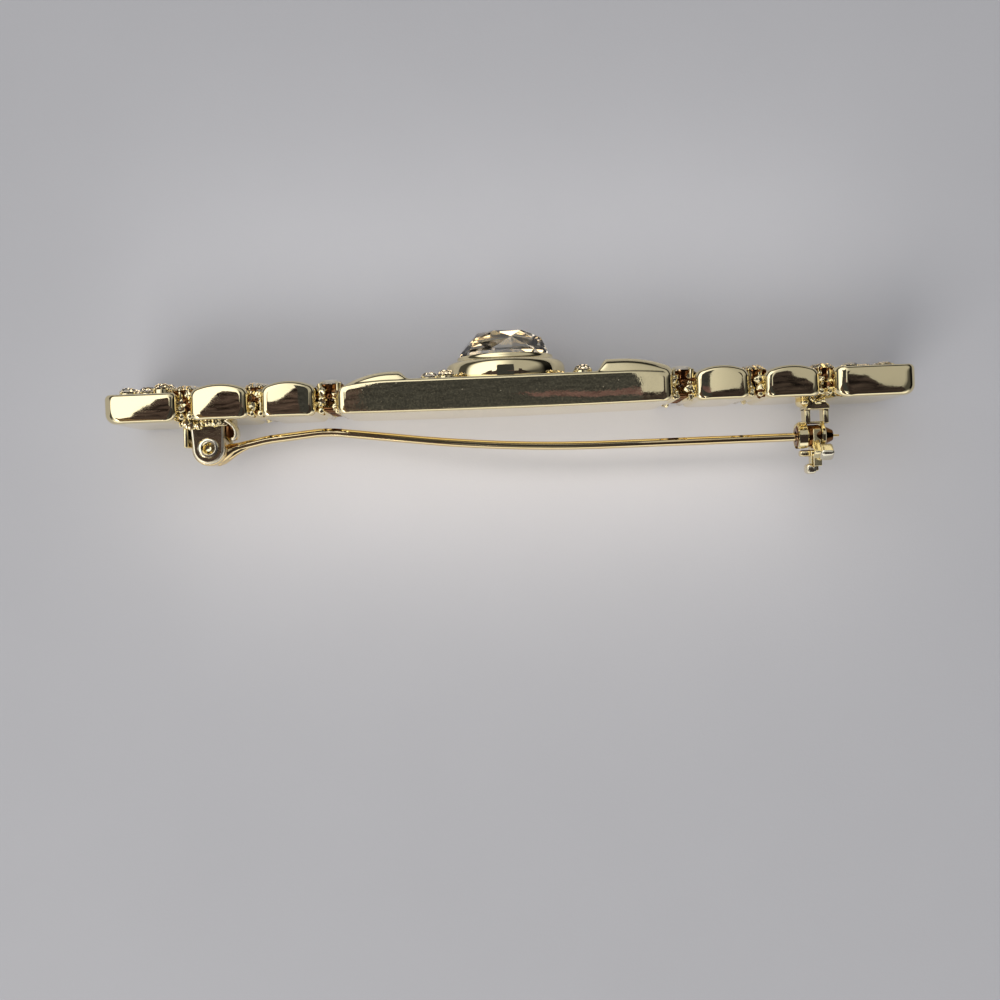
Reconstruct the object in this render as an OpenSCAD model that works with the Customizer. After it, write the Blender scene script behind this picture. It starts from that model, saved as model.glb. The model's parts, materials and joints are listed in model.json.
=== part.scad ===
// Bar brooch lying on its long edge. X runs along the bar, the stones face -Y, the pin is at +Y.
// Z is the brooch's height, from the lower long edge on the surface to the upper one.

/* [Bar] */
// Thickness of the bar from front to back
bar_t = 3.25; // [3:0.05:3.5]
// Rounding of each piece's corners, seen on the long edge
corner_r = 0.9; // [0.5:0.1:1.1]
// Length of the centre panel
panel_len = 33.5; // [32:0.5:35]
// Height of the centre panel
panel_h = 12; // [11.5:0.1:13]
// Length of a link beside the centre panel
inner_link_len = 5.55; // [5:0.05:6]
// Length of a link beside an end piece
outer_link_len = 5.7; // [5:0.05:6]
// Height of a link
link_h = 10.4; // [10:0.1:11]
// How far a link's front swells past its edges
link_rise = 0.4; // [0.2:0.1:0.6]
// Length of an end piece
end_len = 8.05; // [7:0.05:9]
// Height of an end piece
end_h = 11; // [10.5:0.1:11.5]
// Gap between the centre panel and the inner link
panel_gap = 2.2; // [2:0.1:2.4]
// Gap between the two links
link_gap = 1.4; // [1.3:0.1:1.6]
// Gap between the outer link and the end piece
end_gap = 1.25; // [1.2:0.05:1.5]

/* [Raised caps] */
// Distance from the middle of the bar to a cap's inner end
cap_in = 9.7; // [9.5:0.1:10.5]
// Height of a cap above the panel's front
cap_rise = 1.2; // [0.8:0.1:1.4]
// How much lower a cap is along the long edges
cap_swell = 0.4; // [0.2:0.1:0.5]

/* [Main crystal] */
// Half the crystal's length
crystal_half = 4.75; // [4.5:0.05:4.9]
// Height of ovals as a share of their length
oval = 0.81; // [0.78:0.01:0.82]
// Height of the crystal's table above the panel's front
table_up = 5.25; // [4.5:0.05:5.5]
// Height of the bezel's rim above the panel's front
rim_up = 2.55; // [2.2:0.05:2.8]

/* [Small stones] */
// Diameter of a stone between two links
accent_d = 2.8; // [2.4:0.1:2.9]
// Distance between the stones of one column
accent_pitch = 2.95; // [2.9:0.05:3]
// Depth of a paved bed below the panel's front
pave_depth = 0.8; // [0.6:0.1:1]
// Height of the paved stones above the panel's front
pave_up = 0.6; // [0.4:0.1:0.8]

/* [Pin] */
// Diameter of the pin's wire
wire_d = 0.9; // [0.8:0.05:0.95]
// Distance from the bar's middle plane to the straight of the pin
pin_y = 5.45; // [5.3:0.05:5.6]
// Radius of the pin's eye
eye_r = 1.8; // [1.6:0.05:1.8]
// Width of the pin's eye along the rivet
eye_w = 2.9; // [2.5:0.1:2.9]

/* [Catch] */
// Place of the catch along the bar, from the middle
catch_x = 31.87; // [31.5:0.01:32]
// Outer radius of the turning sleeve
sleeve_r = 1.05; // [1:0.01:1.06]
// Width of the throat that the pin passes
throat_w = 1.15; // [1.1:0.01:1.2]

/* [Hidden] */
$fn = 64;

hinge_side = 1;
catch_side = -1;

// Planes and places along the bar
mid_z = panel_h / 2;
front_y = -bar_t / 2;
back_y = bar_t / 2;
panel_end = panel_len / 2;
inner_link_x = panel_end + panel_gap;
inner_link_end = inner_link_x + inner_link_len;
outer_link_x = inner_link_end + link_gap;
outer_link_end = outer_link_x + outer_link_len;
end_x = outer_link_end + end_gap;
bar_end = end_x + end_len;
panel_column_x = panel_end + panel_gap / 2;
links_column_x = inner_link_end + link_gap / 2;
end_column_x = outer_link_end + end_gap / 2;

// Corners of the outlines seen from the front
panel_plan_r = 1.6;
link_plan_r = 1.1;
end_plan_r = 1.6;

// Gap between a stone or a paved bed and its seat
seat_gap = 0.05;
// How deep a soldered part sits in what carries it
sink = 0.12;
// How far a cut passes the faces that it cuts
over = 1;
// Depth of a cut through the whole brooch
through = 30;

// Raised caps
cap_peak_x = 12;
cap_drop = 1.95;
cap_block = 20;
cap_run = panel_end - cap_peak_x;
cap_r = (cap_run * cap_run + cap_drop * cap_drop) / (2 * cap_drop);
cap_plan_r = 1.3;

// Paved beds
bed_edge = 1;
bed_wall = 0.35;
panel_bed_end = cap_in - bed_wall;
end_bed_margin = 1.15;
end_t = bar_t - 0.1;
end_pave_taper = 0.35;

// Bezel wall, as half lengths and heights above the panel's front
bezel_foot_r = 6.15;
bezel_lip_r = crystal_half + seat_gap;
bezel_seat_r = 4.3;
bezel_seat_up = 1.7;
bezel_hollow_r = 3.7;
bezel_floor_up = -0.9;
bezel_wall = [
    [bezel_seat_r, -sink],
    [6.1, -sink],
    [bezel_foot_r, 0.4],
    [6.05, 0.5],
    [5.75, 0.65],
    [5.6, 1.25],
    [5.2, 1.35],
    [5.05, rim_up - 0.15],
    [4.95, rim_up],
    [bezel_lip_r, rim_up],
    [bezel_lip_r, bezel_seat_up],
    [bezel_seat_r, bezel_seat_up - 0.3]
];

// Main crystal's rings of corners: half length, height above the panel's front, turn in corners
RING_HALF = 0;
RING_UP = 1;
RING_TURN = 2;
crystal_sides = 16;
crystal_rings = [
    [1.1, -0.5, 0],
    [crystal_half - 0.4, bezel_seat_up + seat_gap, 0],
    [crystal_half, bezel_seat_up + 0.4, 0],
    [crystal_half, rim_up - 0.1, 0],
    [4.62, 3.2, 0],
    [2.85, table_up, 0.5]
];

// Accent stones, in millimetres from the bar's middle plane
accent_r = accent_d / 2;
accent_girdle_y = -1.97;
accent_table_y = -2.5;
accent_table_r = 0.85;
accent_girdle_t = 0.08;
accent_culet_y = -1.15;
accent_culet_r = 0.2;
accent_count = 3;
accent_first = -accent_pitch * (accent_count - 1) / 2;
seat_mouth = 1;

// Prongs and rungs of the open cups between the links
prong_r = 0.28;
prong_bite = 0.2;
prong_tip_y = -2.05;
prong_foot_y = 1.35;
prong_off = 1;
rung_t = 0.5;
rung_front_y = -0.6;
rung_back_y = 0.95;
rung_bite = 0.15;

// Hinge joint
hinge_x = 31;
hinge_y = 4.35;
ear_r = 1.65;
ear_t = 0.75;
eye_gap = 0.1;
ear_in = eye_w / 2 + eye_gap;
ear_out = ear_in + ear_t;
hinge_base_t = 0.5;
stop_x = 28.9;
stop_t = 0.4;
stop_y = 3.4;
heel_x = 33.3;
heel_t = 0.5;
heel_y = 4.3;

// Hinge rivet
shank_r = 0.75;
rivet_hole_r = 0.52;
ear_hole_r = 0.78;
eye_hole_r = 0.82;
rivet_head_r = 0.97;
rivet_head_t = 0.25;
rivet_gap = 0.03;

// Pin: corners of its middle line as x, y and bend radius
wire_r = wire_d / 2;
bend_r = wire_r + 0.01;
PIN_X = 0;
PIN_Y = 1;
PIN_BEND = 2;
pin_corners = [
    [30.2, 4.53, 0],
    [25.2, 3.28, 12],
    [18.9, 2.68, 14],
    [-0.4, pin_y, 154],
    [-29.5, pin_y, 0]
];
pin_tip_x = -34.6;
pin_tip_r = 0.14;
neck_r = 1;
neck_len = 2.9;
wire_lap = 0.3;
neck_end_r = wire_r - 0.02;

// Catch housing, as distances from the axis and from the middle of the catch
ring_bore = sleeve_r + 0.07;
ring_r = 1.4;
ring_in = 0.68;
hinge_ring_end = 1.72;
free_ring_end = 1.38;
leg_half = 0.75;
leg_top = ring_bore + 0.01;
hinge_leg_end = 1.55;
ledge_top = 1.25;
ledge_t = 0.25;
ledge_half = 0.4;
catch_base_t = 1;
catch_base_half = 1.3;
catch_base_in = 2.2;
catch_base_out = 1.6;

// Catch sleeve
sleeve_hinge_end = 1.78;
sleeve_free_end = 1.42;
sleeve_nose = 0.6;
sleeve_nose_r = 0.8;
hub_r = 1.15;
hub_half = 0.59;
channel_r = 0.53;
channel_w = 0.98;
lever_half = 0.28;
lever_w = 1.1;
lever_root = 0.3;
thumb_r = 3.98;
thumb_t = 0.65;
thumb_w = 1.4;
thumb_over = 1.37;
guard_angle = 40;
guard_r = 2.9;
guard_over = 1.63;

function pin_heading(i) =
    atan2(
        pin_corners[i + 1][PIN_Y] - pin_corners[i][PIN_Y],
        pin_corners[i + 1][PIN_X] - pin_corners[i][PIN_X]
    );
function turned(a) = a > 180 ? a - 360 : a < -180 ? a + 360 : a;
function pin_turn(i) = turned(pin_heading(i) - pin_heading(i - 1));
function pin_reach(i) =
    pin_corners[i][PIN_BEND] == 0 ? 0 : pin_corners[i][PIN_BEND] * tan(abs(pin_turn(i)) / 2);
function pin_point(i, along, heading) =
    [
        pin_corners[i][PIN_X] + along * cos(heading),
        pin_corners[i][PIN_Y] + along * sin(heading),
        mid_z
    ];

// Rectangle with round corners
module rounded(length, width, r) {
    square([length - 2 * r, width], center = true);
    square([length, width - 2 * r], center = true);
    for (x = [-1, 1], y = [-1, 1])
        translate([x * (length / 2 - r), y * (width / 2 - r)])
            circle(r = r);
}

// Outline seen from the front, cut through the whole depth of the brooch
module front_cut(length, height, r) {
    rotate([90, 0, 0])
        linear_extrude(through, center = true)
            rounded(length, height, r);
}

// Everything behind a front that swells by rise between the long edges
module swell_cut(length, height, top_y, rise) {
    r = (height * height / 4 + rise * rise) / (2 * rise);
    translate([0, top_y + r, 0])
        rotate([0, 90, 0])
            cylinder(r = r, h = length + 2 * over, center = true, $fn = 360);
}

// Oval post along Y, between two distances from the bar's middle plane
module oval_post(half, y0, y1) {
    translate([0, y1, mid_z])
        rotate([90, 0, 0])
            scale([1, oval, 1])
                cylinder(r = half, h = y1 - y0, $fn = 96);
}

module link(length) {
    depth = bar_t + link_rise;
    intersection() {
        translate([0, -link_rise / 2, 0])
            linear_extrude(link_h, center = true)
                rounded(length, depth, corner_r);
        front_cut(length, link_h, link_plan_r);
        swell_cut(length, link_h, front_y - link_rise, link_rise);
    }
}

module links() {
    translate([inner_link_x + inner_link_len / 2, 0, mid_z])
        link(inner_link_len);
    translate([outer_link_x + outer_link_len / 2, 0, mid_z])
        link(outer_link_len);
}

// Bed of a paved field beside the crystal
module panel_bed(y0, y1, inset) {
    difference() {
        translate([0, y0, bed_edge + inset])
            cube([panel_bed_end - inset, y1 - y0, panel_h - 2 * bed_edge - 2 * inset]);
        oval_post(bezel_foot_r + inset, y0 - over, y1 + over);
    }
}

module cap() {
    top_y = front_y - cap_rise;
    intersection() {
        linear_extrude(panel_h)
            intersection() {
                translate([cap_in, top_y])
                    square([panel_end - cap_in, cap_rise + bar_t / 2]);
                translate([cap_peak_x, top_y + cap_r])
                    circle(r = cap_r, $fn = 180);
            }
        translate([panel_end - cap_block / 2, 0, mid_z])
            front_cut(cap_block, panel_h, cap_plan_r);
        translate([cap_peak_x, 0, mid_z])
            swell_cut(cap_block, panel_h, top_y, cap_swell);
    }
}

module panel_half() {
    difference() {
        intersection() {
            linear_extrude(panel_h)
                rounded(panel_len, bar_t, corner_r);
            translate([0, 0, mid_z])
                front_cut(panel_len, panel_h, panel_plan_r);
            translate([-over, -bar_t, -over])
                cube([panel_len, 2 * bar_t, panel_h + 2 * over]);
        }
        panel_bed(front_y - over, front_y + pave_depth, 0);
    }
    cap();
}

module end_bed(y0, y1, inset) {
    margin = end_bed_margin + inset;
    translate([end_x + margin, y0, mid_z - end_h / 2 + margin])
        cube([end_len - 2 * margin, y1 - y0, end_h - 2 * margin]);
}

module end_piece() {
    difference() {
        translate([end_x + end_len / 2, 0, mid_z])
            intersection() {
                linear_extrude(end_h, center = true)
                    rounded(end_len, end_t, corner_r);
                front_cut(end_len, end_h, end_plan_r);
            }
        end_bed(front_y - over, front_y + pave_depth, 0);
    }
}

// Puts what it is given at each stone of a column
module at_stones(x) {
    for (i = [0 : accent_count - 1])
        translate([x, 0, mid_z + accent_first + i * accent_pitch])
            children();
}

// Open cups of one column of stones: prongs from front to back, tied by two rungs
module cup_column(x, gap) {
    reach = prong_off + prong_r - accent_first;
    for (y = [rung_front_y, rung_back_y])
        translate([x - gap / 2 - rung_bite, y - rung_t / 2, mid_z - reach])
            cube([gap + 2 * rung_bite, rung_t, 2 * reach]);
    at_stones(x)
        for (side = [-1, 1], up = [-1, 1])
            translate([side * (gap / 2 - prong_bite), prong_foot_y, up * prong_off])
                rotate([90, 0, 0])
                    cylinder(r = prong_r, h = prong_foot_y - prong_tip_y, $fn = 24);
}

// Turns an outline of radius and y around the Y axis
module turned_along_y(outline) {
    rotate([90, 0, 0])
        rotate_extrude($fn = 32)
            polygon([for (p = outline) [p[0], -p[1]]]);
}

// Round stone with its table towards -Y
module stone() {
    turned_along_y([
        [0, accent_culet_y],
        [accent_culet_r, accent_culet_y],
        [accent_r, accent_girdle_y],
        [accent_r, accent_girdle_y - accent_girdle_t],
        [accent_table_r, accent_table_y],
        [0, accent_table_y]
    ]);
}

// Room for a stone in the prongs and in the links' corners
module stone_seat() {
    turned_along_y([
        [0, accent_culet_y + seat_gap],
        [accent_culet_r + 2 * seat_gap, accent_culet_y + seat_gap],
        [accent_r + seat_gap, accent_girdle_y],
        [accent_r + seat_gap, accent_girdle_y - seat_mouth],
        [0, accent_girdle_y - seat_mouth]
    ]);
}

// Oval bezel on its flared foot, hollow for the crystal
module bezel() {
    translate([0, front_y, mid_z])
        rotate([90, 0, 0])
            scale([1, oval, 1])
                rotate_extrude($fn = 96)
                    polygon(bezel_wall);
}

module hinge_joint() {
    base_y = back_y - sink;
    for (up = [-1, 1])
        translate([0, 0, mid_z + up * (ear_in + ear_t / 2)])
            linear_extrude(ear_t, center = true)
                difference() {
                    union() {
                        translate([hinge_x, hinge_y])
                            circle(r = ear_r);
                        translate([hinge_x - ear_r, base_y])
                            square([2 * ear_r, hinge_y - base_y]);
                        translate([stop_x, base_y])
                            square([hinge_x - stop_x, stop_y - base_y]);
                    }
                    translate([hinge_x, hinge_y])
                        circle(r = ear_hole_r);
                }
    translate([stop_x, base_y, mid_z - ear_out])
        cube([heel_x + heel_t - stop_x, hinge_base_t + sink, 2 * ear_out]);
    translate([stop_x, base_y, mid_z - ear_out])
        cube([stop_t, stop_y - base_y, 2 * ear_out]);
    translate([heel_x, base_y, mid_z - ear_out])
        cube([heel_t, heel_y - base_y, 2 * ear_out]);
}

// Ring around the sleeve, open towards the back for the pin
module catch_ring(x0, x1) {
    difference() {
        translate([x0, 0, 0])
            rotate([0, 90, 0])
                cylinder(r = ring_r, h = x1 - x0);
        translate([x0 - over, 0, 0])
            rotate([0, 90, 0])
                cylinder(r = ring_bore, h = x1 - x0 + 2 * over);
        translate([x0 - over, 0, -throat_w / 2])
            cube([x1 - x0 + 2 * over, ring_r + over, throat_w]);
    }
}

module catch_housing() {
    root = pin_y - back_y + sink;
    translate([-catch_x, pin_y, mid_z]) {
        catch_ring(ring_in, hinge_ring_end);
        catch_ring(-free_ring_end, -ring_in);
        translate([ring_in, -root, -leg_half])
            cube([hinge_leg_end - ring_in, root - leg_top, 2 * leg_half]);
        translate([-free_ring_end, -root, -leg_half])
            cube([free_ring_end - ring_in, root - leg_top, 2 * leg_half]);
        translate([-free_ring_end, -ledge_top - ledge_t, -ledge_half])
            cube([free_ring_end + hinge_leg_end, ledge_t, 2 * ledge_half]);
        translate([-catch_base_out, -root, -catch_base_half])
            cube([catch_base_out + catch_base_in, catch_base_t + sink, 2 * catch_base_half]);
    }
}

// Cast and soldered metal, all one solid
module bar_frame() {
    color("#d8c88a") {
        difference() {
            union() {
                for (side = [0, 1])
                    mirror([side, 0, 0]) {
                        panel_half();
                        links();
                        end_piece();
                        cup_column(panel_column_x, panel_gap);
                        cup_column(links_column_x, link_gap);
                        cup_column(end_column_x, end_gap);
                    }
                bezel();
                hinge_joint();
                catch_housing();
            }
            for (side = [-1, 1], x = [panel_column_x, links_column_x, end_column_x])
                at_stones(side * x)
                    stone_seat();
            oval_post(bezel_hollow_r, front_y - over, front_y - bezel_floor_up);
        }
    }
}

function crystal_corner(ring, i) =
    let (a = (i + ring[RING_TURN]) * 360 / crystal_sides)
        [
            ring[RING_HALF] * cos(a),
            front_y - ring[RING_UP],
            mid_z + ring[RING_HALF] * oval * sin(a)
        ];

// Faceted oval crystal, from its culet to its table
module main_crystal() {
    n = crystal_sides;
    table = (len(crystal_rings) - 1) * n;
    color("#e8eef2")
        polyhedron(
            points = [for (ring = crystal_rings, i = [0 : n - 1]) crystal_corner(ring, i)],
            faces = concat(
                [[for (i = [0 : n - 1]) n - 1 - i]],
                [[for (i = [0 : n - 1]) table + i]],
                [for (a = [0 : n : table - n], i = [0 : n - 1]) [a + i, a + (i + 1) % n, a + n + i]],
                [
                    for (a = [0 : n : table - n], i = [0 : n - 1])
                        [a + (i + 1) % n, a + n + (i + 1) % n, a + n + i]
                ]
            )
        );
}

module pave_panel(side) {
    color("#dfe3e2")
        mirror([side < 0 ? 1 : 0, 0, 0])
            panel_bed(front_y - pave_up, front_y + pave_depth - seat_gap, seat_gap);
}

// The end pieces' pave rises towards the middle of the brooch
module pave_end(side) {
    x0 = end_x + end_bed_margin + seat_gap;
    x1 = bar_end - end_bed_margin - seat_gap;
    z0 = mid_z - end_h / 2 + end_bed_margin + seat_gap;
    color("#dfe3e2")
        mirror([side < 0 ? 1 : 0, 0, 0])
            translate([0, 0, z0])
                linear_extrude(2 * (mid_z - z0))
                    polygon([
                        [x0, front_y + pave_depth - seat_gap], [x1, front_y + pave_depth - seat_gap],
                        [x1, front_y + end_pave_taper - pave_up], [x0, front_y - pave_up]
                    ]);
}

module stones(side, x) {
    color("#eef3f6")
        at_stones(side * x)
            stone();
}

// Tube rivet with a turned-over head on each ear
module hinge_rivet() {
    length = 2 * (ear_out + rivet_gap);
    color("#cdb97a")
        translate([hinge_x, hinge_y, mid_z])
            difference() {
                union() {
                    cylinder(r = shank_r, h = length, center = true);
                    for (up = [-1, 1])
                        translate([0, 0, up * (length + rivet_head_t) / 2])
                            cylinder(r = rivet_head_r, h = rivet_head_t, center = true);
                }
                cylinder(r = rivet_hole_r, h = length + 2 * (rivet_head_t + over), center = true);
            }
}

module wire(i) {
    heading = pin_heading(i);
    length = norm([
        pin_corners[i + 1][PIN_X] - pin_corners[i][PIN_X],
        pin_corners[i + 1][PIN_Y] - pin_corners[i][PIN_Y]
    ]);
    start = pin_reach(i) - (i == 0 ? 0 : wire_lap);
    stop = length - (i + 2 == len(pin_corners) ? 0 : pin_reach(i + 1) - wire_lap);
    translate(pin_point(i, start, heading))
        rotate([0, 0, heading])
            rotate([0, 90, 0])
                cylinder(r = wire_r, h = stop - start);
}

module wire_bend(i) {
    r = pin_corners[i][PIN_BEND];
    heading = pin_heading(i - 1);
    turn = pin_turn(i);
    hand = sign(turn);
    centre = pin_point(i, -pin_reach(i), heading) + r * [-hand * sin(heading), hand * cos(heading), 0];
    translate(centre)
        rotate([0, 0, heading - hand * 90 + min(turn, 0)])
            rotate_extrude(angle = abs(turn), $fn = 720)
                translate([r, 0])
                    circle(r = bend_r, $fn = 32);
}

module pin_stem() {
    last = len(pin_corners) - 1;
    color("#d9b65a") {
        difference() {
            union() {
                translate([hinge_x, hinge_y, mid_z])
                    cylinder(r = eye_r, h = eye_w, center = true);
                wire(0);
                translate(pin_point(0, 0, pin_heading(0)))
                    rotate([0, 0, pin_heading(0)])
                        rotate([0, 90, 0])
                            cylinder(r1 = neck_r, r2 = neck_end_r, h = neck_len);
            }
            translate([hinge_x, hinge_y, mid_z])
                cylinder(r = eye_hole_r, h = eye_w + 2 * over, center = true);
        }
        for (i = [1 : last - 1])
            wire_bend(i);
        for (i = [1 : last - 1])
            wire(i);
        translate([pin_corners[last][PIN_X], pin_y, mid_z])
            rotate([0, -90, 0])
                cylinder(r1 = wire_r, r2 = pin_tip_r, h = pin_corners[last][PIN_X] - pin_tip_x);
    }
}

// Lever that stands out of the sleeve, with a thumb piece turned over to one side of its tip
module lever(angle, tip_r, x0, x1) {
    rotate([angle, 0, 0]) {
        translate([-lever_half, hub_r - lever_root, -lever_w / 2])
            cube([2 * lever_half, tip_r - hub_r + lever_root, lever_w]);
        translate([x0, tip_r - thumb_t, -thumb_w / 2])
            cube([x1 - x0, thumb_t, thumb_w]);
    }
}

module catch_sleeve() {
    length = sleeve_hinge_end + sleeve_free_end;
    color("#e2d7ab")
        translate([-catch_x, pin_y, mid_z])
            difference() {
                union() {
                    translate([-sleeve_free_end, 0, 0])
                        rotate([0, 90, 0])
                            cylinder(r = sleeve_r, h = length);
                    translate([-sleeve_free_end, 0, 0])
                        rotate([0, -90, 0])
                            cylinder(r1 = sleeve_r, r2 = sleeve_nose_r, h = sleeve_nose);
                    translate([-hub_half, 0, 0])
                        rotate([0, 90, 0])
                            cylinder(r = hub_r, h = 2 * hub_half);
                    lever(0, thumb_r, -lever_half, thumb_over);
                    lever(guard_angle, guard_r, -guard_over, lever_half);
                }
                translate([-length, 0, 0])
                    rotate([0, 90, 0])
                        cylinder(r = channel_r, h = 2 * length);
                translate([-length, -channel_w / 2, -2 * ring_r])
                    cube([2 * length, channel_w, 2 * ring_r]);
            }
}

bar_frame();
main_crystal();
pave_panel(hinge_side);  // pave_panel_hinge_side
pave_panel(catch_side);  // pave_panel_catch_side
pave_end(hinge_side);  // pave_end_hinge_side
pave_end(catch_side);  // pave_end_catch_side
stones(hinge_side, panel_column_x);  // stones_panel_hinge_side
stones(hinge_side, links_column_x);  // stones_links_hinge_side
stones(hinge_side, end_column_x);  // stones_end_hinge_side
stones(catch_side, panel_column_x);  // stones_panel_catch_side
stones(catch_side, links_column_x);  // stones_links_catch_side
stones(catch_side, end_column_x);  // stones_end_catch_side
hinge_rivet();
pin_stem();
catch_sleeve();
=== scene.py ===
"""Looks of a bar brooch: cast and plated metal, cut stones, pin and safety catch, on a pale surface."""

import json
import math
import random

import bmesh
import bpy
from bpy.props import FloatProperty, FloatVectorProperty, IntProperty, PointerProperty
from mathutils import Matrix, Vector, noise


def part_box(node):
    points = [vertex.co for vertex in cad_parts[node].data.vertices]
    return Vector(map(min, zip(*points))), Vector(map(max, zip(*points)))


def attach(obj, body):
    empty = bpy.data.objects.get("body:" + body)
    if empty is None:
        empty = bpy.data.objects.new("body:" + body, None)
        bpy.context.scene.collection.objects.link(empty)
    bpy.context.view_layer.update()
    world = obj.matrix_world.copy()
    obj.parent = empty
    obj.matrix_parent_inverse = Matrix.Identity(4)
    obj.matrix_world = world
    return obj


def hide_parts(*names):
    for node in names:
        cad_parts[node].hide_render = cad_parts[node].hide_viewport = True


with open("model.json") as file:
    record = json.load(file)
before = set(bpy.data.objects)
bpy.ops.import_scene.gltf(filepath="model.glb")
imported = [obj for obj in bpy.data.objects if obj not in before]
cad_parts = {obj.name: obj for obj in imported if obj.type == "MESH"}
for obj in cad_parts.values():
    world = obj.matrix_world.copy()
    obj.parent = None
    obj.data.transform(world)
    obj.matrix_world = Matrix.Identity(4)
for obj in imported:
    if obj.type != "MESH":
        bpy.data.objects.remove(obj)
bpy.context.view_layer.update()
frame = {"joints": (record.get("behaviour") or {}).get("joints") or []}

bl_info = {
    "name": "Bar Brooch",
    "version": (1, 0, 0),
    "blender": (4, 5, 0),
    "location": "3D View > Sidebar > Brooch",
    "description": "Builds a bar brooch with cut stones, a hinged pin and a safety catch",
    "category": "Object",
}

MM = 0.001

# Places that the frame gives: the bar, its stones, and the two axes that things turn on
BAR_LOW, BAR_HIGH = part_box("bar_frame")
BAR_END = BAR_HIGH.x
MID_Z = (BAR_LOW.z + BAR_HIGH.z) / 2
JOINT_PLACE = {joint["name"]: Vector(joint["pos_m"]) for joint in frame["joints"]}
HINGE = JOINT_PLACE["pin_swing"]
CATCH = JOINT_PLACE["sleeve_turn"]
STONE_COLUMNS = (
    "stones_panel_hinge_side", "stones_links_hinge_side", "stones_end_hinge_side",
    "stones_panel_catch_side", "stones_links_catch_side", "stones_end_catch_side",
)
SIDES = {"hinge_side": 1, "catch_side": -1}

# Bezel wall: half length of its oval and height above the panel's front, in millimetres
BEZEL_WALL = (
    (6.14, -0.6), (6.2, 0.1), (6.26, 0.3), (6.27, 0.55), (6.24, 0.95), (6.19, 1.25), (6.1, 1.5),
    (5.96, 1.68), (5.76, 1.82), (5.52, 1.91), (5.28, 1.96), (5.12, 2.02), (5.05, 2.12), (5.03, 2.24),
    (5.01, 2.36), (4.95, 2.45), (4.87, 2.48), (4.8, 2.45), (4.76, 2.36),
    (4.77, 1.9), (4.3, 1.45), (3.6, 0.5), (3.6, -0.6),
)

# The two caps, which were not cast alike: share of the cap's rise, shift of its inner end in
# millimetres and share of its fall
CAPS = {1: (0.76, 0.35, 1), -1: (1.1, -0.35, 0.72)}

# How far each casting's top was filed out of square, as a slope along the bar
FILED = {
    "link_inner_hinge_side": 0.034, "link_outer_hinge_side": -0.025, "end_piece_hinge_side": 0.0,
    "link_inner_catch_side": -0.034, "link_outer_catch_side": 0.017, "end_piece_catch_side": 0.0,
}

# How far each hand-soldered casting, and each column of stones, sits off its drawn place, in
# millimetres: its inner end and its outer end along the bar, its front and its back across it
OFF_PLACE = {
    "link_inner_hinge_side": (0.3, 0.3, 0, 0), "link_outer_hinge_side": (0.1, 0.4, 0, 0),
    "end_piece_hinge_side": (0.35, -0.2, 0.35, 0.15), "link_inner_catch_side": (0, 0, 0.15, 0),
    "link_outer_catch_side": (0, 0, 0.4, 0.05), "end_piece_catch_side": (0, 0.35, 0.38, 0.33),
    "panel_hinge_side": (0.1, 0.1, 0, 0), "links_hinge_side": (0.2, 0.2, 0, 0),
    "end_hinge_side": (0.33, 0.33, 0, 0), "panel_catch_side": (0, 0, 0, 0),
    "links_catch_side": (0, 0, 0.2, 0), "end_catch_side": (0, 0, 0.3, 0),
}

# Corners of the pin's middle line: X, Y and bend radius, in millimetres
PIN_CORNERS = (
    (30.2, 5.05, 0), (28.6, 4.3, 4), (25.2, 3.6, 12), (18.9, 3.0, 14), (-0.4, 5.5, 154),
    (-29.5, 5.5, 0),
)

# Metal drawn out of the eye along the far side of the pin's neck: X, Y and radius, in millimetres
NECK_FILLET = (
    (30.4, 5.7, 0.5), (29.8, 5.5, 0.48), (29.2, 5.15, 0.44), (28.6, 4.8, 0.38), (28.0, 4.5, 0.34),
    (27.3, 4.22, 0.3),
)

# Section of the tube rivet's end: radius and height above the ear, in millimetres
RIVET_END = (
    (0.75, 0), (0.98, 0), (1.04, 0.08), (1.0, 0.2), (0.86, 0.27), (0.7, 0.25), (0.58, 0.14),
    (0.5, -0.05), (0.47, -0.5), (0.3, -0.66), (0.02, -0.7),
)

# Section of a paved stone's collar: how far outside the stone's edge, and how far behind its
# place, in millimetres
COLLAR = ((0.07, 0.75), (0.05, -0.06), (0.01, -0.1), (-0.05, -0.06), (-0.1, 0.75))

# Hinge's base plate and outer wall along the bar: X of both sides, in millimetres
HINGE_BASE = (28.75, 33.75)
HINGE_WALL = (32.9, 33.4)

# Middle line of the bent sheet that stops the pin: X and Y, in millimetres
STOP_BOW = (
    (29.2, 1.5), (28.62, 1.78), (28.2, 2.2), (27.98, 2.7), (27.97, 3.1), (28.1, 3.42), (28.35, 3.5),
)

# Foot of the catch on the bar's back: X from the catch's axis and height, in millimetres
CATCH_FOOT = (
    (-0.85, -0.1), (0.1, -0.1), (0.16, 0.25), (0.5, 0.45), (0.84, 0.62), (0.95, 0.8), (0.95, 1.15),
    (-1.62, 1.15), (-1.62, 0.8), (-1.5, 0.6), (-1.2, 0.45), (-0.9, 0.25),
)

# Plates on the catch's barrel, from the middle of its axis, in millimetres: low corner, high
# corner, rounding and lean about Y in degrees
BARREL_PLATES = (
    ((-0.42, -0.7, 0.8), (0.46, 3.2, 1.15), 0.1, -12),
    ((0.1, 1.47, -0.45), (1.5, 2.15, 0.5), 0.25, 0),
)

# Levers of the catch: turn about its axis in degrees, distance of the tip, the thumb piece's two
# sides along the axis and its depth, in millimetres
LEVERS = ((0, 3.98, -0.2, 0.95, 1.1), (40, 3.05, -1.7, -0.2, 1.45))

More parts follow.
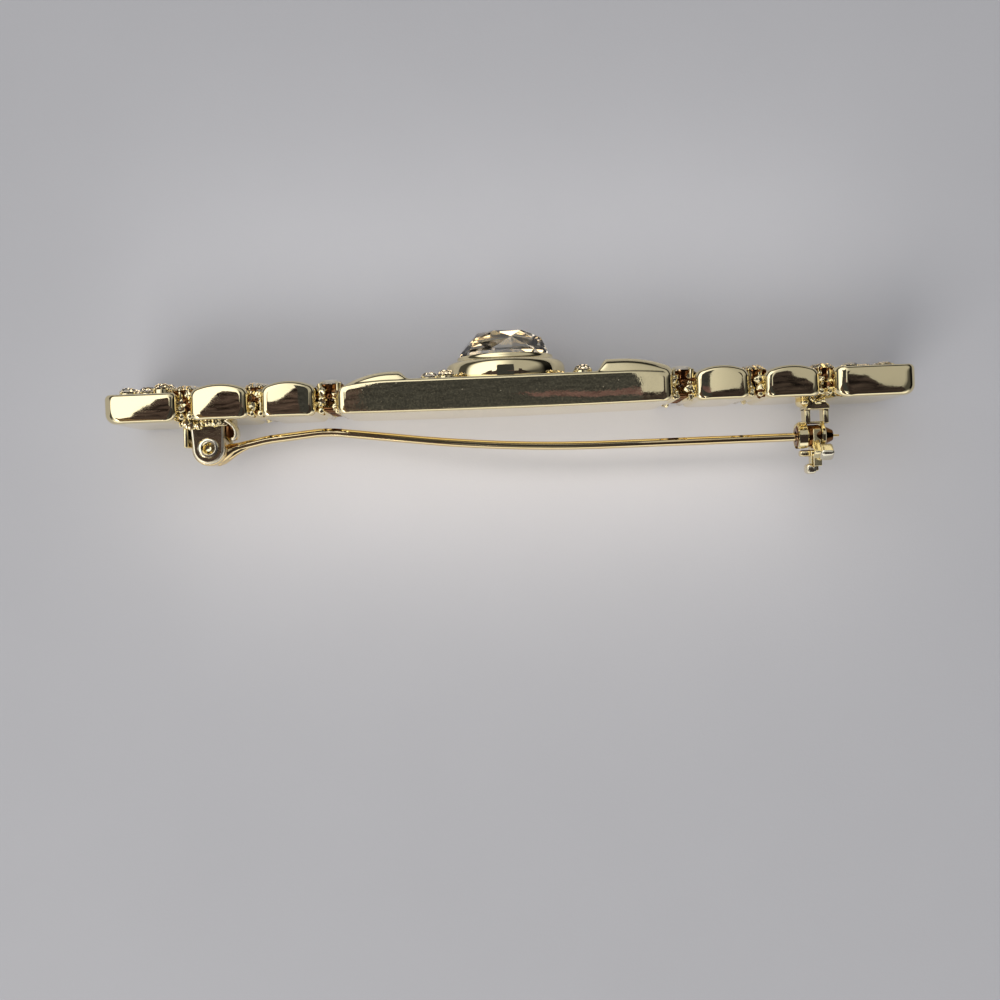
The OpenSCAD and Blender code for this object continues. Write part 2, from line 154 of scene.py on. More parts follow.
# Light that polished metal throws onto the paper: name, place and size in millimetres, watts, tint
BOUNCES = (
    ("back_bounce", (0.0, 8.5, 15), (74, 5), 0.003, (1.0, 0.93, 0.85)),
    ("gap_bounce", (0.0, 3.4, 12.5), (68, 2), 0.0022, (1.0, 0.91, 0.8)),
    ("front_bounce", (0.0, -15, 18), (80, 10), 0.0034, (1.0, 0.98, 0.96)),
)

# Dark shapes above the table that the metal mirrors: colour, height in metres, calm streaks or
# strong ones, and corners in X and Y, in millimetres
CARDS = {
    "centre_card": ("#3C3E43", 0.132, True, ((-30, -60), (29.5, -60), (29.5, 60), (-30, 60))),
    "warm_card": ("#69535A", 0.131, True, ((-30, -8.6), (-3, -9.4), (-9, -5), (-30, -3))),
    "plus_x_card": ("#453B3D", 0.136, False, (
        (22, 60), (22, -60), (30.3, -60), (30.8, -25), (33, -21), (38, -14), (45, -10), (50, -10),
        (50, -24), (60, -22.5), (65, -20), (69, -14), (72, -10), (75, -4), (77.6, 2), (77.6, 240),
        (0, 240),
    )),
    "far_card": ("#6E5C4A", 0.136, False, (
        (77.6, 2), (84, 8), (150, 60), (150, 240), (77.6, 240),
    )),
    "minus_x_card": ("#352F31", 0.136, False, (
        (-25, 60), (-25, -5), (-46, -6), (-48, -12), (-50, -28), (-62, -28), (-66, -15), (-72, -12),
        (-80, -4), (-86, 0), (-150, 60), (-150, 240), (0, 240),
    )),
}

# Streaks on the cards, calm ones and strong ones: how many a metre along X and Y, their detail,
# and the card's glow in its darkest and its brightest streak
STREAKS = {True: ((330, 480, 1), 6, 0.55, 1.45), False: ((70, 380, 1), 3, 0.15, 2.0)}

# Cream wall in front of the stones: half width, place in Y, and foot and top in Z, in metres
WALL_HALF, WALL_Y, WALL_Z = 0.25, -0.2, (0.01, 0.28)

# Input and output places of a Mix node that mixes colours
MIX_FACTOR, MIX_FIRST, MIX_SECOND, MIX_RESULT = 0, 6, 7, 2


def linear(hex_colour):
    """Linear RGB of an sRGB hex colour."""
    channels = [int(hex_colour[i:i + 2], 16) / 255 for i in (1, 3, 5)]
    return tuple(c / 12.92 if c <= 0.04045 else ((c + 0.055) / 1.055) ** 2.4 for c in channels)


def length(name, millimetres, description):
    """Property for a length, given in millimetres and held in metres."""
    return FloatProperty(
        name=name, description=description, default=millimetres * MM, unit="LENGTH", precision=5
    )


def colour(name, hex_colour, description):
    """Property for a colour, given as an sRGB hex value."""
    return FloatVectorProperty(
        name=name, description=description, default=linear(hex_colour), subtype="COLOR",
        min=0, max=1,
    )


class BroochBar(bpy.types.PropertyGroup):
    """Sizes of the cast bar."""

    thickness: length("Thickness", 3.25, "Bar from front to back")
    corner: length("Corner", 0.75, "Rounding of a casting's back corners, seen on the long edge")
    edge: length("Edge", 0.45, "Rounding along a casting's long edges")
    panel_length: length("Panel length", 33.5, "Length of the centre panel")
    panel_extra: length("Panel extra", 0.45, "How much longer the panel is at the hinge's end")
    panel_belly: length("Panel belly", 0.13, "How far the panel's back swells along its length")
    panel_gap: length("Panel gap", 2.2, "Gap between the centre panel and the inner link")
    inner_link: length("Inner link", 5.55, "Length of a link beside the centre panel")
    link_gap: length("Link gap", 1.4, "Gap between the two links")
    outer_link: length("Outer link", 5.7, "Length of a link beside an end piece")
    end_gap: length("End gap", 1.25, "Gap between the outer link and the end piece")
    link_height: length("Link height", 10.6, "Height of a link")
    end_height: length("End height", 11.2, "Height of an end piece")
    link_lift: length("Link lift", 0.28, "How far a link stands out past the panel's front")
    link_swell: length("Link swell", 0.4, "How far a link's front swells between its edges")
    link_bow: length("Link bow", 0.75, "How far a link's front falls from its middle to its ends")
    cap_start: length("Cap start", 9.9, "Distance from the middle to a cap's inner end")
    cap_slope: length("Cap slope", 1.2, "Length of the slope at a cap's inner end")
    cap_peak: length("Cap peak", 11.6, "Distance from the middle to a cap's highest place")
    cap_rise: length("Cap rise", 1.15, "Height of a cap above the panel's front")
    cap_drop: length("Cap drop", 1.5, "How far a cap falls from its peak to its outer end")
    cap_round: length("Cap rounding", 0.95, "Rounding along a cap's long edges")
    cap_ledge: length("Cap ledge", 0.16, "Width of the ledge between a cap and the long edge")
    crown: length("Crown", 0.035, "How much a polished long edge is domed across")
    wave: length("Wave", 0.011, "Depth of the waves that hand polishing leaves")


class BroochStones(bpy.types.PropertyGroup):
    """Sizes of the small stones."""

    column_pitch: length("Column pitch", 2.95, "Distance between the stones of a column")
    pave_diameter: length("Paved stone", 1.8, "Diameter of a paved stone")
    pave_pitch: length("Paved pitch", 1.95, "Distance between paved stones")
    bead: length("Bead", 0.16, "Radius of a gold bead between paved stones")
    prong: length("Prong", 0.27, "Radius of a prong beside a stone")
    table_share: FloatProperty(
        name="Table", description="A small stone's table as a share of its diameter", default=0.58,
        subtype="FACTOR", min=0.4, max=0.7,
    )
    facets: IntProperty(
        name="Facets", description="Main facets around a stone", default=8, min=6, max=12
    )


class BroochFindings(bpy.types.PropertyGroup):
    """Sizes of the hinge, the pin and the catch."""

    wire: length("Wire", 0.9, "Diameter of the pin's wire")
    tip: length("Tip", 34.6, "Distance from the middle of the bar to the pin's point")
    ear: length("Ear", 1.65, "Radius of the hinge's ears")
    ear_thickness: length("Ear thickness", 0.75, "Thickness of an ear")
    ear_rim: length("Ear rim", 0.27, "Rounding of an ear's rims")
    ear_shift: length("Ear shift", 0.13, "How far the ears sit off the rivet's axis")
    eye: length("Eye", 1.8, "Radius of the pin's eye")
    eye_width: length("Eye width", 2.9, "Width of the pin's eye along the rivet")
    sleeve: length("Sleeve", 1.05, "Outer radius of the catch's turning sleeve")
    ring: length("Ring", 1.4, "Outer radius of the catch's two rings")
    throat: length("Throat", 1.15, "Width of the opening that the pin passes")


class BroochFinish(bpy.types.PropertyGroup):
    """Colours of the metal and the stones."""

    cast: colour("Cast gold", "#F4E4B6", "Pale gold plate on the castings")
    cast_warm: colour("Warm gold", "#F0E2B8", "Gold plate in hollows, prongs and solder")
    wire: colour("Wire gold", "#EDCD93", "Gold plate on the pin's wire")
    # Painted highlight: this pale colour stands in for the white highlights of the catch's thumb pieces
    # and of the hinge's rims; the tube rivet is given it too
    pale_highlight: colour("Worn tips", "#E6E4DC", "Bare metal where thumbs rub the catch")
    # Painted shade: these two dark browns stand in for the shade between the castings, in the hinge's
    # hollow and on the catch's barrel
    shade_brown: colour("Tarnish", "#94683E", "Browned plate in the recesses between castings")
    shade_brown_deep: colour("Deep tarnish", "#573420", "Darkest browned plate")
    glass: colour("Glass", "#FFFCF5", "Clear glass of the stones")
    foil: colour("Foil", "#F7F0E0", "Silvered back of a stone")
    lacquer: colour("Lacquer", "#FFF6E6", "Lacquered back of the oval crystal")
    dust: colour("Dust", "#CFCBBE", "Dust and polish left on the metal")


class BroochStage(bpy.types.PropertyGroup):
    """Surface, light and camera."""

    surface: colour("Surface", "#A7A7AB", "Pale paper that the brooch lies on")
    window: FloatProperty(
        name="Window", description="Power of the soft window light", default=1.18, min=0, unit="POWER"
    )
    window_place: FloatVectorProperty(
        name="Window place", description="Middle of the window light",
        default=(0.2, 0.31, 0.32), subtype="XYZ_LENGTH",
    )
    window_tint: FloatVectorProperty(
        name="Window tint", description="Colour of the window's light",
        default=(1.0, 0.965, 0.91), subtype="COLOR", min=0, max=1,
    )
    wall: colour("Wall", "#F2E2C6", "Cream wall that the stones' glass shows")
    wall_glow: FloatProperty(
        name="Wall glow", description="Strength of the cream wall's light", default=3.4, min=0
    )
    lens: FloatProperty(name="Lens", description="Camera's focal length", default=42.45, unit="CAMERA")
    camera: FloatVectorProperty(
        name="Camera", description="Place of the camera",
        default=(1.1 * MM, 10.86 * MM, 129.5 * MM), subtype="XYZ_LENGTH",
    )
    roll: FloatProperty(
        name="Roll", description="Turn of the picture against the bar",
        default=math.radians(-2.28), subtype="ANGLE",
    )


def between(start, stop, count):
    """count + 1 numbers spread evenly from start to stop."""
    return [start + (stop - start) * i / count for i in range(count + 1)]


def smooth(value, start, stop):
    """0 before start, 1 after stop, with an even curve between."""
    t = min(max((value - start) / (stop - start), 0), 1)
    return t * t * (3 - 2 * t)


def quarter(radius, count):
    """Depths at which a quarter round is cut, so that its steps are even in angle."""
    return [radius * (1 - math.cos(math.pi / 2 * i / count)) for i in range(count + 1)]


def round_in(depth, radius):
    """How far a quarter round of that radius lies inside its side at that depth."""
    return radius - math.sqrt(max(radius ** 2 - (radius - depth) ** 2, 0)) if depth < radius else 0


def arc(centre, radius, start, stop, count):
    """Points of an arc, with angles in degrees."""
    return [
        (centre[0] + radius * math.cos(math.radians(a)), centre[1] + radius * math.sin(math.radians(a)))
        for a in between(start, stop, count)
    ]


def loft(bm, rings, closed_ends=True):
    """Joins rings of equally many points with quads. Returns the rings' vertices."""
    made = [[bm.verts.new(point) for point in ring] for ring in rings]
    count = len(made[0])
    for low, high in zip(made, made[1:]):
        for i in range(count):
            j = (i + 1) % count
            bm.faces.new((low[i], low[j], high[j], high[i]))
    if closed_ends:
        bm.faces.new(reversed(made[0]))
        bm.faces.new(made[-1])
    return made


def rod(bm, points, radii, sides=16):
    """Round bar along points, with a radius at each, closed by small domes."""
    path = [Vector(p) for p in points]
    rings = []
    normal = None
    for i, point in enumerate(path):
        along = (path[min(i + 1, len(path) - 1)] - path[max(i - 1, 0)]).normalized()
        if normal is None:
            normal = along.orthogonal().normalized()
        normal = (normal - along * normal.dot(along)).normalized()
        other = along.cross(normal)
        rings.append((point, along, normal, other, radii[i]))

    def ring(entry, shift, scale):
        point, along, normal, other, radius = entry
        return [
            point + along * shift + (normal * math.cos(a) + other * math.sin(a)) * radius * scale
            for a in between(0, 2 * math.pi, sides)[:-1]
        ]

    dome = [(math.sin(a), math.cos(a)) for a in (1.35, 1.0, 0.6)]
    first = [ring(rings[0], -rings[0][4] * s * 0.6, c) for s, c in dome]
    last = [ring(rings[-1], rings[-1][4] * s * 0.6, c) for s, c in reversed(dome)]
    loft(bm, first + [ring(entry, 0, 1) for entry in rings] + last)


def cast_block(
    bm, x_range, z_range, front, back, corners, plan, edge, step=0.45 * MM, rows=10, slanted=0.0
):
    """Closed casting, lofted up its height, with every edge round.

    front and back give Y at an X and Z. corners round the outline seen along Z, at the front and
    at the back, plan rounds the outline seen along Y, and edge the two long edges. slanted is the
    width of a slant where the +X end meets them.
    """
    x0, x1 = x_range
    z0, z1 = z_range
    half = (z1 - z0) / 2
    widest = max(corners)
    slant_depth = 0.84 * slanted
    depths = sorted(set(quarter(plan, 10) + quarter(edge, 6) + between(plan, half, 6)))
    levels = [z0 + d for d in depths] + [z1 - d for d in reversed(depths[:-1])]
    corner_steps = sorted(set(quarter(corners[0], 6) + quarter(corners[1], 6)))
    count = max(4, math.ceil((x1 - x0 - 2 * widest) / step))
    rings, chains = [], []
    for z in levels:
        depth = min(z - z0, z1 - z)
        slant = slanted * max(1 - depth / slant_depth, 0) if slanted else 0
        left, right = x0 + round_in(depth, plan), x1 - max(round_in(depth, plan), slant)
        inset = round_in(depth, edge)
        xs = (
            [left + s for s in corner_steps]
            + between(left + widest, right - widest, count)[1:-1]
            + [right - s for s in reversed(corner_steps)]
        )
        fronts, backs = [], []
        for x in xs:
            reach = min(x - left, right - x)
            fronts.append(Vector((x, front(x, z) + inset + round_in(reach, corners[0]), z)))
            backs.append(Vector((x, back(x, z) - inset - round_in(reach, corners[1]), z)))
        sides = [[fronts[i].lerp(backs[i], r / rows) for r in range(1, rows)] for i in (0, -1)]
        rings.append(fronts + sides[1] + backs[::-1] + sides[0][::-1])
        chains.append((fronts, backs))
    made = loft(bm, rings, closed_ends=False)
    n = len(chains[0][0])
    for ring, (fronts, backs), flip in ((made[0], chains[0], True), (made[-1], chains[-1], False)):
        near, right_side = ring[:n], ring[n:n + rows - 1]
        far = ring[n + rows - 1:2 * n + rows - 1][::-1]
        left_side = ring[2 * n + rows - 1:][::-1]
        grid = [near]
        for r in range(1, rows):
            inner = [bm.verts.new(fronts[i].lerp(backs[i], r / rows)) for i in range(1, n - 1)]
            grid.append([left_side[r - 1]] + inner + [right_side[r - 1]])
        grid.append(far)
        for low, high in zip(grid, grid[1:]):
            for i in range(n - 1):
                face = (low[i], low[i + 1], high[i + 1], high[i])
                bm.faces.new(face[::-1] if flip else face)


def polish(bm, bar, x_range, z_range, seed, lengthwise=1.6, filed=0.0):
    """Domes the long edges and gives every face the shallow waves of hand polishing."""
    x_mid, x_half = sum(x_range) / 2, (x_range[1] - x_range[0]) / 2
    z_mid, z_half = sum(z_range) / 2, (z_range[1] - z_range[0]) / 2
    for v in bm.verts:
        across = v.co.y / (bar.thickness / 2)
        along = (v.co.x - x_mid) / x_half
        share = (v.co.z - z_mid) / z_half
        dome = bar.crown * (across ** 2 + lengthwise * along ** 2)
        v.co.z += share * (filed * (v.co.x - x_mid) - dome)
    bm.normal_update()
    moves = []
    for v in bm.verts:
        coarse = noise.noise(v.co / (3.2 * MM) + Vector((seed, 0, 0)))
        fine = noise.noise(v.co / (1.3 * MM) + Vector((0, seed, 0)))
        moves.append((v, v.normal * bar.wave * (coarse + 0.35 * fine)))
    for v, move in moves:
        v.co += move


def turned(bm, profile, axis_point, axis, sides=48, closed=True):
    """Turns a profile of (radius, height) pairs about an axis. closed joins its two ends."""
    turn = Vector((0, 0, 1)).rotation_difference(Vector(axis)).to_matrix()
    rings = []
    for radius, height in profile:
        ring = []
        for a in between(0, 2 * math.pi, sides)[:-1]:
            point = turn @ Vector((radius * math.cos(a), radius * math.sin(a), height))
            ring.append(point + axis_point)
        rings.append(ring)
    if closed:
        made = [[bm.verts.new(p) for p in ring] for ring in rings]
        made.append(made[0])
        for low, high in zip(made, made[1:]):
            for i in range(sides):
                j = (i + 1) % sides
                bm.faces.new((low[i], low[j], high[j], high[i]))
    else:
        loft(bm, rings)


def plate(bm, outline, z0, z1, bevel):
    """Flat piece with an outline in X and Y, and rounded rims."""
    low = [bm.verts.new((x, y, z0)) for x, y in outline]
    high = [bm.verts.new((x, y, z1)) for x, y in outline]
    made = [bm.faces.new(reversed(low)), bm.faces.new(high)]
    for i in range(len(outline)):
        j = (i + 1) % len(outline)
        made.append(bm.faces.new((low[i], low[j], high[j], high[i])))
    rims = [edge for face in made[:2] for edge in face.edges]
    bmesh.ops.bevel(
        bm, geom=rims, offset=bevel, segments=3, profile=0.5, affect="EDGES", clamp_overlap=True
    )


def inset(outline, distance):
    """Outline in X and Y drawn in by a distance all round, given counterclockwise."""
    points = [Vector(p) for p in outline]
    made = []
    for i, point in enumerate(points):
        into = (point - points[i - 1]).normalized()
        out = (points[(i + 1) % len(points)] - point).normalized()
        left, right = Vector((-into.y, into.x)), Vector((-out.y, out.x))
        middle = (left + right).normalized()
        made.append(point + middle * distance / max(middle.dot(left), 0.6))
    return made


def rounded_plate(bm, outline, z0, z1, rim, count=6):
    """Flat piece whose two rims are quarter rounds. The rims' faces get material 1."""
    rings = []
    for k in range(count + 1):
        a = math.pi / 2 * (1 - k / count)
        rings.append((rim * (1 - math.cos(a)), z0 + rim * (1 - math.sin(a))))
    rings += [(depth, z0 + z1 - z) for depth, z in reversed(rings)]
    before = set(bm.faces)
    loft(bm, [[Vector((p.x, p.y, z)) for p in inset(outline, depth)] for depth, z in rings])
    bm.normal_update()
    for face in set(bm.faces) - before:
        face.material_index = 1 if 0.05 < abs(face.normal.z) < 0.995 else 0


def soft_box(bm, low, high, bevel, turn=None, segments=3):
    """Box between two corners with all edges rounded, which a matrix may turn."""
    made = bmesh.ops.create_cube(bm, size=1)["verts"]
    low, high = Vector(low), Vector(high)
    for v in made:
        v.co = Vector([(v.co[i] + 0.5) * (high[i] - low[i]) + low[i] for i in range(3)])
    edges = list(dict.fromkeys(edge for v in made for edge in v.link_edges))
    result = bmesh.ops.bevel(
        bm, geom=edges, offset=bevel, segments=segments, profile=0.5, affect="EDGES",
        clamp_overlap=True,
    )
    if turn is not None:
        verts = dict.fromkeys(v for face in result["faces"] for v in face.verts)
        bmesh.ops.transform(bm, matrix=turn, verts=list(verts))


def brilliant(bm, centre, half, table, girdle, table_up, culet_down, squash=1, mains=8, spin=0.0):
    """Cut stone facing -Y: table, stars, kites, girdle facets and a pavilion.

    half and table are half lengths. Heights are measured from the centre's girdle plane. Faces of
    the pavilion get material 1, for the foil behind the stone.
    """
    def corner(radius, up, step):
        a = spin + step * 2 * math.pi / mains
        return bm.verts.new((
            centre[0] + radius * math.cos(a), centre[1] - up, centre[2] + radius * squash * math.sin(a)
        ))

    slope = (table_up - girdle) / (half - table)
    mid = table + 0.36 * (half - table)
    mid_radius = mid / math.cos(math.pi / mains)
    tables = [corner(table, table_up, k) for k in range(mains)]
    mids = [corner(mid_radius, table_up - (mid - table) * slope, k + 0.5) for k in range(mains)]
    uppers = [corner(half, girdle, k / 2) for k in range(2 * mains)]
    lowers = [corner(half, 0, k / 2) for k in range(2 * mains)]
    belly = 0.45 * half / math.cos(math.pi / mains)
    bellies = [corner(belly, -0.62 * culet_down, k + 0.5) for k in range(mains)]
    culets = [corner(0.1 * half, -culet_down, k) for k in range(mains)]
    crown = [bm.faces.new(tables)]
    pavilion = [bm.faces.new(reversed(culets))]
    for k in range(mains):
        j = (k + 1) % mains
        top, mid_vert, before = 2 * k, mids[k], mids[k - 1]
        crown.append(bm.faces.new((tables[j], tables[k], mid_vert)))
        crown.append(bm.faces.new((tables[k], before, uppers[top], mid_vert)))
        crown.append(bm.faces.new((mid_vert, uppers[top], uppers[top + 1])))
        crown.append(bm.faces.new((mid_vert, uppers[top + 1], uppers[2 * j])))
        for i in (top, top + 1):
            n = (i + 1) % (2 * mains)
            crown.append(bm.faces.new((uppers[i], lowers[i], lowers[n], uppers[n])))
        pavilion.append(bm.faces.new((lowers[top], bellies[k], lowers[top + 1])))
        pavilion.append(bm.faces.new((lowers[top + 1], bellies[k], lowers[2 * j])))
        pavilion.append(bm.faces.new((lowers[top], bellies[k - 1], culets[k], bellies[k])))
        pavilion.append(bm.faces.new((culets[k], culets[j], bellies[k])))
    for face in pavilion:
        face.material_index = 1
    return crown + pavilion


def solder(bm, places, seed, size=1.0):
    """Lumps of solder, each a drop that ran and froze unevenly."""
    rng = random.Random(seed)
    for place in places:
        radius = rng.uniform(0.32, 0.52) * size * MM
        stretch = [rng.uniform(0.75, 1.35) for _ in range(3)]
        shift = Vector((seed, 17 * radius / MM, 0))
        for v in bmesh.ops.create_icosphere(bm, subdivisions=3, radius=radius)["verts"]:
            uneven = 1 + 0.4 * noise.noise(v.co / (0.3 * size * MM) + shift)
            v.co = Vector(place) + Vector([v.co[i] * stretch[i] * uneven for i in range(3)])


def make_piece(name, bm, materials, body="brooch", stands_for=(), angle=35, flat=False):
    """Object from a mesh in metres, shaded smooth up to an angle, riding on its body.

    flat keeps the large faces of plates and boxes flat in their shading.
    """
    bmesh.ops.recalc_face_normals(bm, faces=bm.faces)
    mesh = bpy.data.meshes.new(name)
    bm.to_mesh(mesh)
    bm.free()
    mesh.shade_smooth()
    mesh.set_sharp_from_angle(angle=math.radians(angle))
    for material in materials:
        mesh.materials.append(material)
    piece = bpy.data.objects.new(name, mesh)
    bpy.context.scene.collection.objects.link(piece)
    if flat:
        piece.modifiers.new("Flat faces", "WEIGHTED_NORMAL").keep_sharp = True
    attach(piece, body)
    if stands_for:
        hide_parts(*stands_for)
    return piece


def cut_away(piece, cutter):
    """Cuts the shape of a mesh out of a piece."""
    bmesh.ops.recalc_face_normals(cutter, faces=cutter.faces)
    mesh = bpy.data.meshes.new("cutter")
    cutter.to_mesh(mesh)
    cutter.free()
    tool = bpy.data.objects.new("cutter", mesh)
    bpy.context.scene.collection.objects.link(tool)
    modifier = piece.modifiers.new("Cut", "BOOLEAN")
    modifier.object = tool
    modifier.solver = "EXACT"
    bpy.context.view_layer.update()
    done = piece.evaluated_get(bpy.context.evaluated_depsgraph_get())
    new_mesh = bpy.data.meshes.new_from_object(done)
    piece.modifiers.remove(modifier)
    old = piece.data
    piece.data = new_mesh
    bpy.data.meshes.remove(old)
    bpy.data.objects.remove(tool)
    bpy.data.meshes.remove(mesh)
    new_mesh.name = piece.name


def add(tree, kind, inputs=(), **settings):
    """Adds a node with its settings. An input is a value or another node's output."""
    made = tree.nodes.new(kind)
    for name, value in settings.items():
        setattr(made, name, value)
    for name, value in dict(inputs).items():
        if isinstance(value, bpy.types.NodeSocket):
            tree.links.new(value, made.inputs[name])
        else:
            made.inputs[name].default_value = value
    return made


def new_material(name):
    """Empty node material with its output, ready for a shader."""
    found = bpy.data.materials.get(name)
    if found:
        return found, None, None
    material = bpy.data.materials.new(name)
    material.use_nodes = True
    tree = material.node_tree
    tree.nodes.clear()
    return material, tree, add(tree, "ShaderNodeOutputMaterial")


def rgba(value):
    """Colour with full cover, as a colour socket takes it."""
    return (*value, 1.0)


def plated(
    name, light, warm, dust, roughness, dust_share, peel, smear=2.2, grain=0.5, speck=0.55, haze=0.0
):
    """Plate on polished metal.

    Electroplate over a tumbled and hand-polished casting is a clear mirror, slightly warmer in
    patches, with soft orange peel, hairline wipe marks and dust that sits in tiny pits. peel is
    the orange peel's depth, grain its size in millimetres, smear how much duller a wipe mark is,
    speck how much a grain of dust covers, and haze how much a film of polish does.
    """
    material, tree, output = new_material(name)
    if tree is None:
        return material
    place = add(tree, "ShaderNodeTexCoord").outputs["Object"]
    patch = add(tree, "ShaderNodeTexNoise", {"Vector": place, "Scale": 1 / (5 * MM), "Detail": 3})
    tint = add(
        tree, "ShaderNodeMix",
        {MIX_FACTOR: patch.outputs["Fac"], MIX_FIRST: rgba(light), MIX_SECOND: rgba(warm)},
        data_type="RGBA",
    )
    grains = add(
        tree, "ShaderNodeTexVoronoi", {"Vector": place, "Scale": 1 / (0.3 * MM), "Randomness": 1}
    )
    chosen = add(
        tree, "ShaderNodeMath", {0: grains.outputs["Color"], 1: 1 - dust_share},
        operation="GREATER_THAN",
    )
    near = add(
        tree, "ShaderNodeMapRange",
        {"Value": grains.outputs["Distance"], "From Min": 0.2, "From Max": 0.08, "To Max": speck},
    )
    specks = add(
        tree, "ShaderNodeMath", {0: chosen.outputs[0], 1: near.outputs["Result"]}, operation="MULTIPLY"
    )
    film = add(
        tree, "ShaderNodeTexNoise",
        {"Vector": place, "Scale": 1 / (0.2 * MM), "Detail": 5, "Roughness": 0.75},
    )
    hazy = add(
        tree, "ShaderNodeMapRange",
        {"Value": film.outputs["Fac"], "From Min": 0.48, "From Max": 0.72, "To Min": 0, "To Max": haze},
    )
    covered = add(
        tree, "ShaderNodeMath", {0: specks.outputs[0], 1: hazy.outputs["Result"]}, operation="MAXIMUM"
    )
    bare = add(tree, "ShaderNodeMath", {0: 1.0, 1: covered.outputs[0]}, operation="SUBTRACT")
    dusted = add(
        tree, "ShaderNodeMix",
        {MIX_FACTOR: covered.outputs[0], MIX_FIRST: tint.outputs[MIX_RESULT], MIX_SECOND: rgba(dust)},
        data_type="RGBA",
    )
    wipe = add(
        tree, "ShaderNodeTexNoise",
        {"Vector": place, "Scale": 1 / (0.8 * MM), "Detail": 5, "Roughness": 0.65},
    )
    rough = add(
        tree, "ShaderNodeMapRange",
        {"Value": wipe.outputs["Fac"], "From Min": 0.35, "From Max": 0.75,
         "To Min": roughness, "To Max": roughness * smear},
    )
    rough_dusted = add(
        tree, "ShaderNodeMath", {0: specks.outputs[0], 1: 0.45, 2: rough.outputs["Result"]},
        operation="MULTIPLY_ADD",
    )
    skin = add(
        tree, "ShaderNodeTexNoise", {"Vector": place, "Scale": 1 / (grain * MM), "Detail": 2}
    )
    relief = add(
        tree, "ShaderNodeMath", {0: specks.outputs[0], 1: 1.5, 2: skin.outputs["Fac"]},
        operation="MULTIPLY_ADD",
    )
    bump = add(
        tree, "ShaderNodeBump", {"Strength": 1, "Distance": peel, "Height": relief.outputs[0]}
    )
    shader = add(
        tree, "ShaderNodeBsdfPrincipled",
        {"Base Color": dusted.outputs[MIX_RESULT], "Metallic": bare.outputs[0],
         "Roughness": rough_dusted.outputs[0], "Normal": bump.outputs["Normal"]},
    )
    tree.links.new(shader.outputs["BSDF"], output.inputs["Surface"])
    return material


def cut_glass(name, tint, bending=1.56):
    """Clear lead glass, cut and polished: sharp flat facets that bend and split what is behind."""
    material, tree, output = new_material(name)
    if tree is None:
        return material
    shader = add(
        tree, "ShaderNodeBsdfPrincipled",
        {"Base Color": rgba(tint), "Roughness": 0.0, "IOR": bending, "Transmission Weight": 1},
    )
    tree.links.new(shader.outputs["BSDF"], output.inputs["Surface"])
    return material


def silver_foil(name, tint, dullest=0.08):
    """Silvered and lacquered back of a glass stone: a slightly dull mirror seen through the glass."""
    material, tree, output = new_material(name)
    if tree is None:
        return material
    place = add(tree, "ShaderNodeTexCoord").outputs["Object"]
    dull = add(tree, "ShaderNodeTexNoise", {"Vector": place, "Scale": 1 / (0.6 * MM), "Detail": 2})
    rough = add(
        tree, "ShaderNodeMapRange",
        {"Value": dull.outputs["Fac"], "To Min": dullest / 4, "To Max": dullest},
    )
    shader = add(
        tree, "ShaderNodeBsdfPrincipled",
        {"Base Color": rgba(tint), "Metallic": 1, "Roughness": rough.outputs["Result"]},
    )
    tree.links.new(shader.outputs["BSDF"], output.inputs["Surface"])
    return material


def paper(name, tint):
    """Uncoated paper or matt laminate: even, pale and without shine, with a faint tooth."""
    material, tree, output = new_material(name)
    if tree is None:
        return material
    place = add(tree, "ShaderNodeTexCoord").outputs["Object"]
    cloud = add(tree, "ShaderNodeTexNoise", {"Vector": place, "Scale": 1 / (14 * MM), "Detail": 4})
    shade = add(
        tree, "ShaderNodeMapRange",
        {"Value": cloud.outputs["Fac"], "To Min": 0.975, "To Max": 1.02},
    )
    tone = add(
        tree, "ShaderNodeVectorMath", {0: tuple(tint), "Scale": shade.outputs["Result"]},
        operation="SCALE",
    )
    tooth = add(tree, "ShaderNodeTexNoise", {"Vector": place, "Scale": 1 / (0.35 * MM), "Detail": 3})
    bump = add(
        tree, "ShaderNodeBump",
        {"Strength": 0.5, "Distance": 0.02 * MM, "Height": tooth.outputs["Fac"]},
    )
    shader = add(
        tree, "ShaderNodeBsdfPrincipled",
        {"Base Color": tone.outputs["Vector"], "Roughness": 0.9, "Specular IOR Level": 0.2,
         "Normal": bump.outputs["Normal"]},
    )
    tree.links.new(shader.outputs["BSDF"], output.inputs["Surface"])
    return material


def cast_gold(finish):
    """Pale gold plate on tumbled and buffed castings: a clear mirror with a little dust."""
    return plated(
        "polished_gold_plated_casting", finish.cast, finish.cast_warm, finish.dust,
        roughness=0.025, dust_share=0.05, peel=0.001 * MM,
    )


def panel_gold(finish):
    """The same plate where fingers hold the brooch: more dust, a thin haze and finer peel."""
    return plated(
        "handled_gold_plated_casting", finish.cast, finish.cast_warm, finish.dust,
        roughness=0.03, dust_share=0.14, peel=0.0018 * MM, smear=1.8, grain=0.3, speck=0.4, haze=0.07,
    )


def setting_gold(finish):
    """Warmer gold plate over prongs and solder, which no buff reaches: soft, uneven glints."""
    return plated(
        "gold_plated_prongs_and_solder", finish.cast_warm, finish.cast, finish.dust,
        roughness=0.05, dust_share=0.05, peel=0.003 * MM,
    )


def wire_gold(finish):
    """Gold plate on drawn wire: deeper in colour."""
    return plated(
        "gold_plated_drawn_wire", finish.wire, finish.cast_warm, finish.dust,
        roughness=0.04, dust_share=0.03, peel=0.0015 * MM,
    )


def catch_gold(finish):
    """Gold plate on pressed sheet, barrel-finished only: glints with blurred edges."""
    return plated(
        "gold_plated_pressed_catch", finish.cast, finish.cast_warm, finish.dust,
        roughness=0.09, dust_share=0.1, peel=0.004 * MM,
    )


def pale_metal_and_highlight(finish):
    """Pale, slightly dull white metal: on the catch's thumb pieces it paints their highlights; the tube
    rivet gets it too.
    """
    return plated(
        "pale_metal_painted_highlight", finish.pale_highlight, finish.cast, finish.dust,
        roughness=0.1, dust_share=0.1, peel=0.003 * MM,
    )


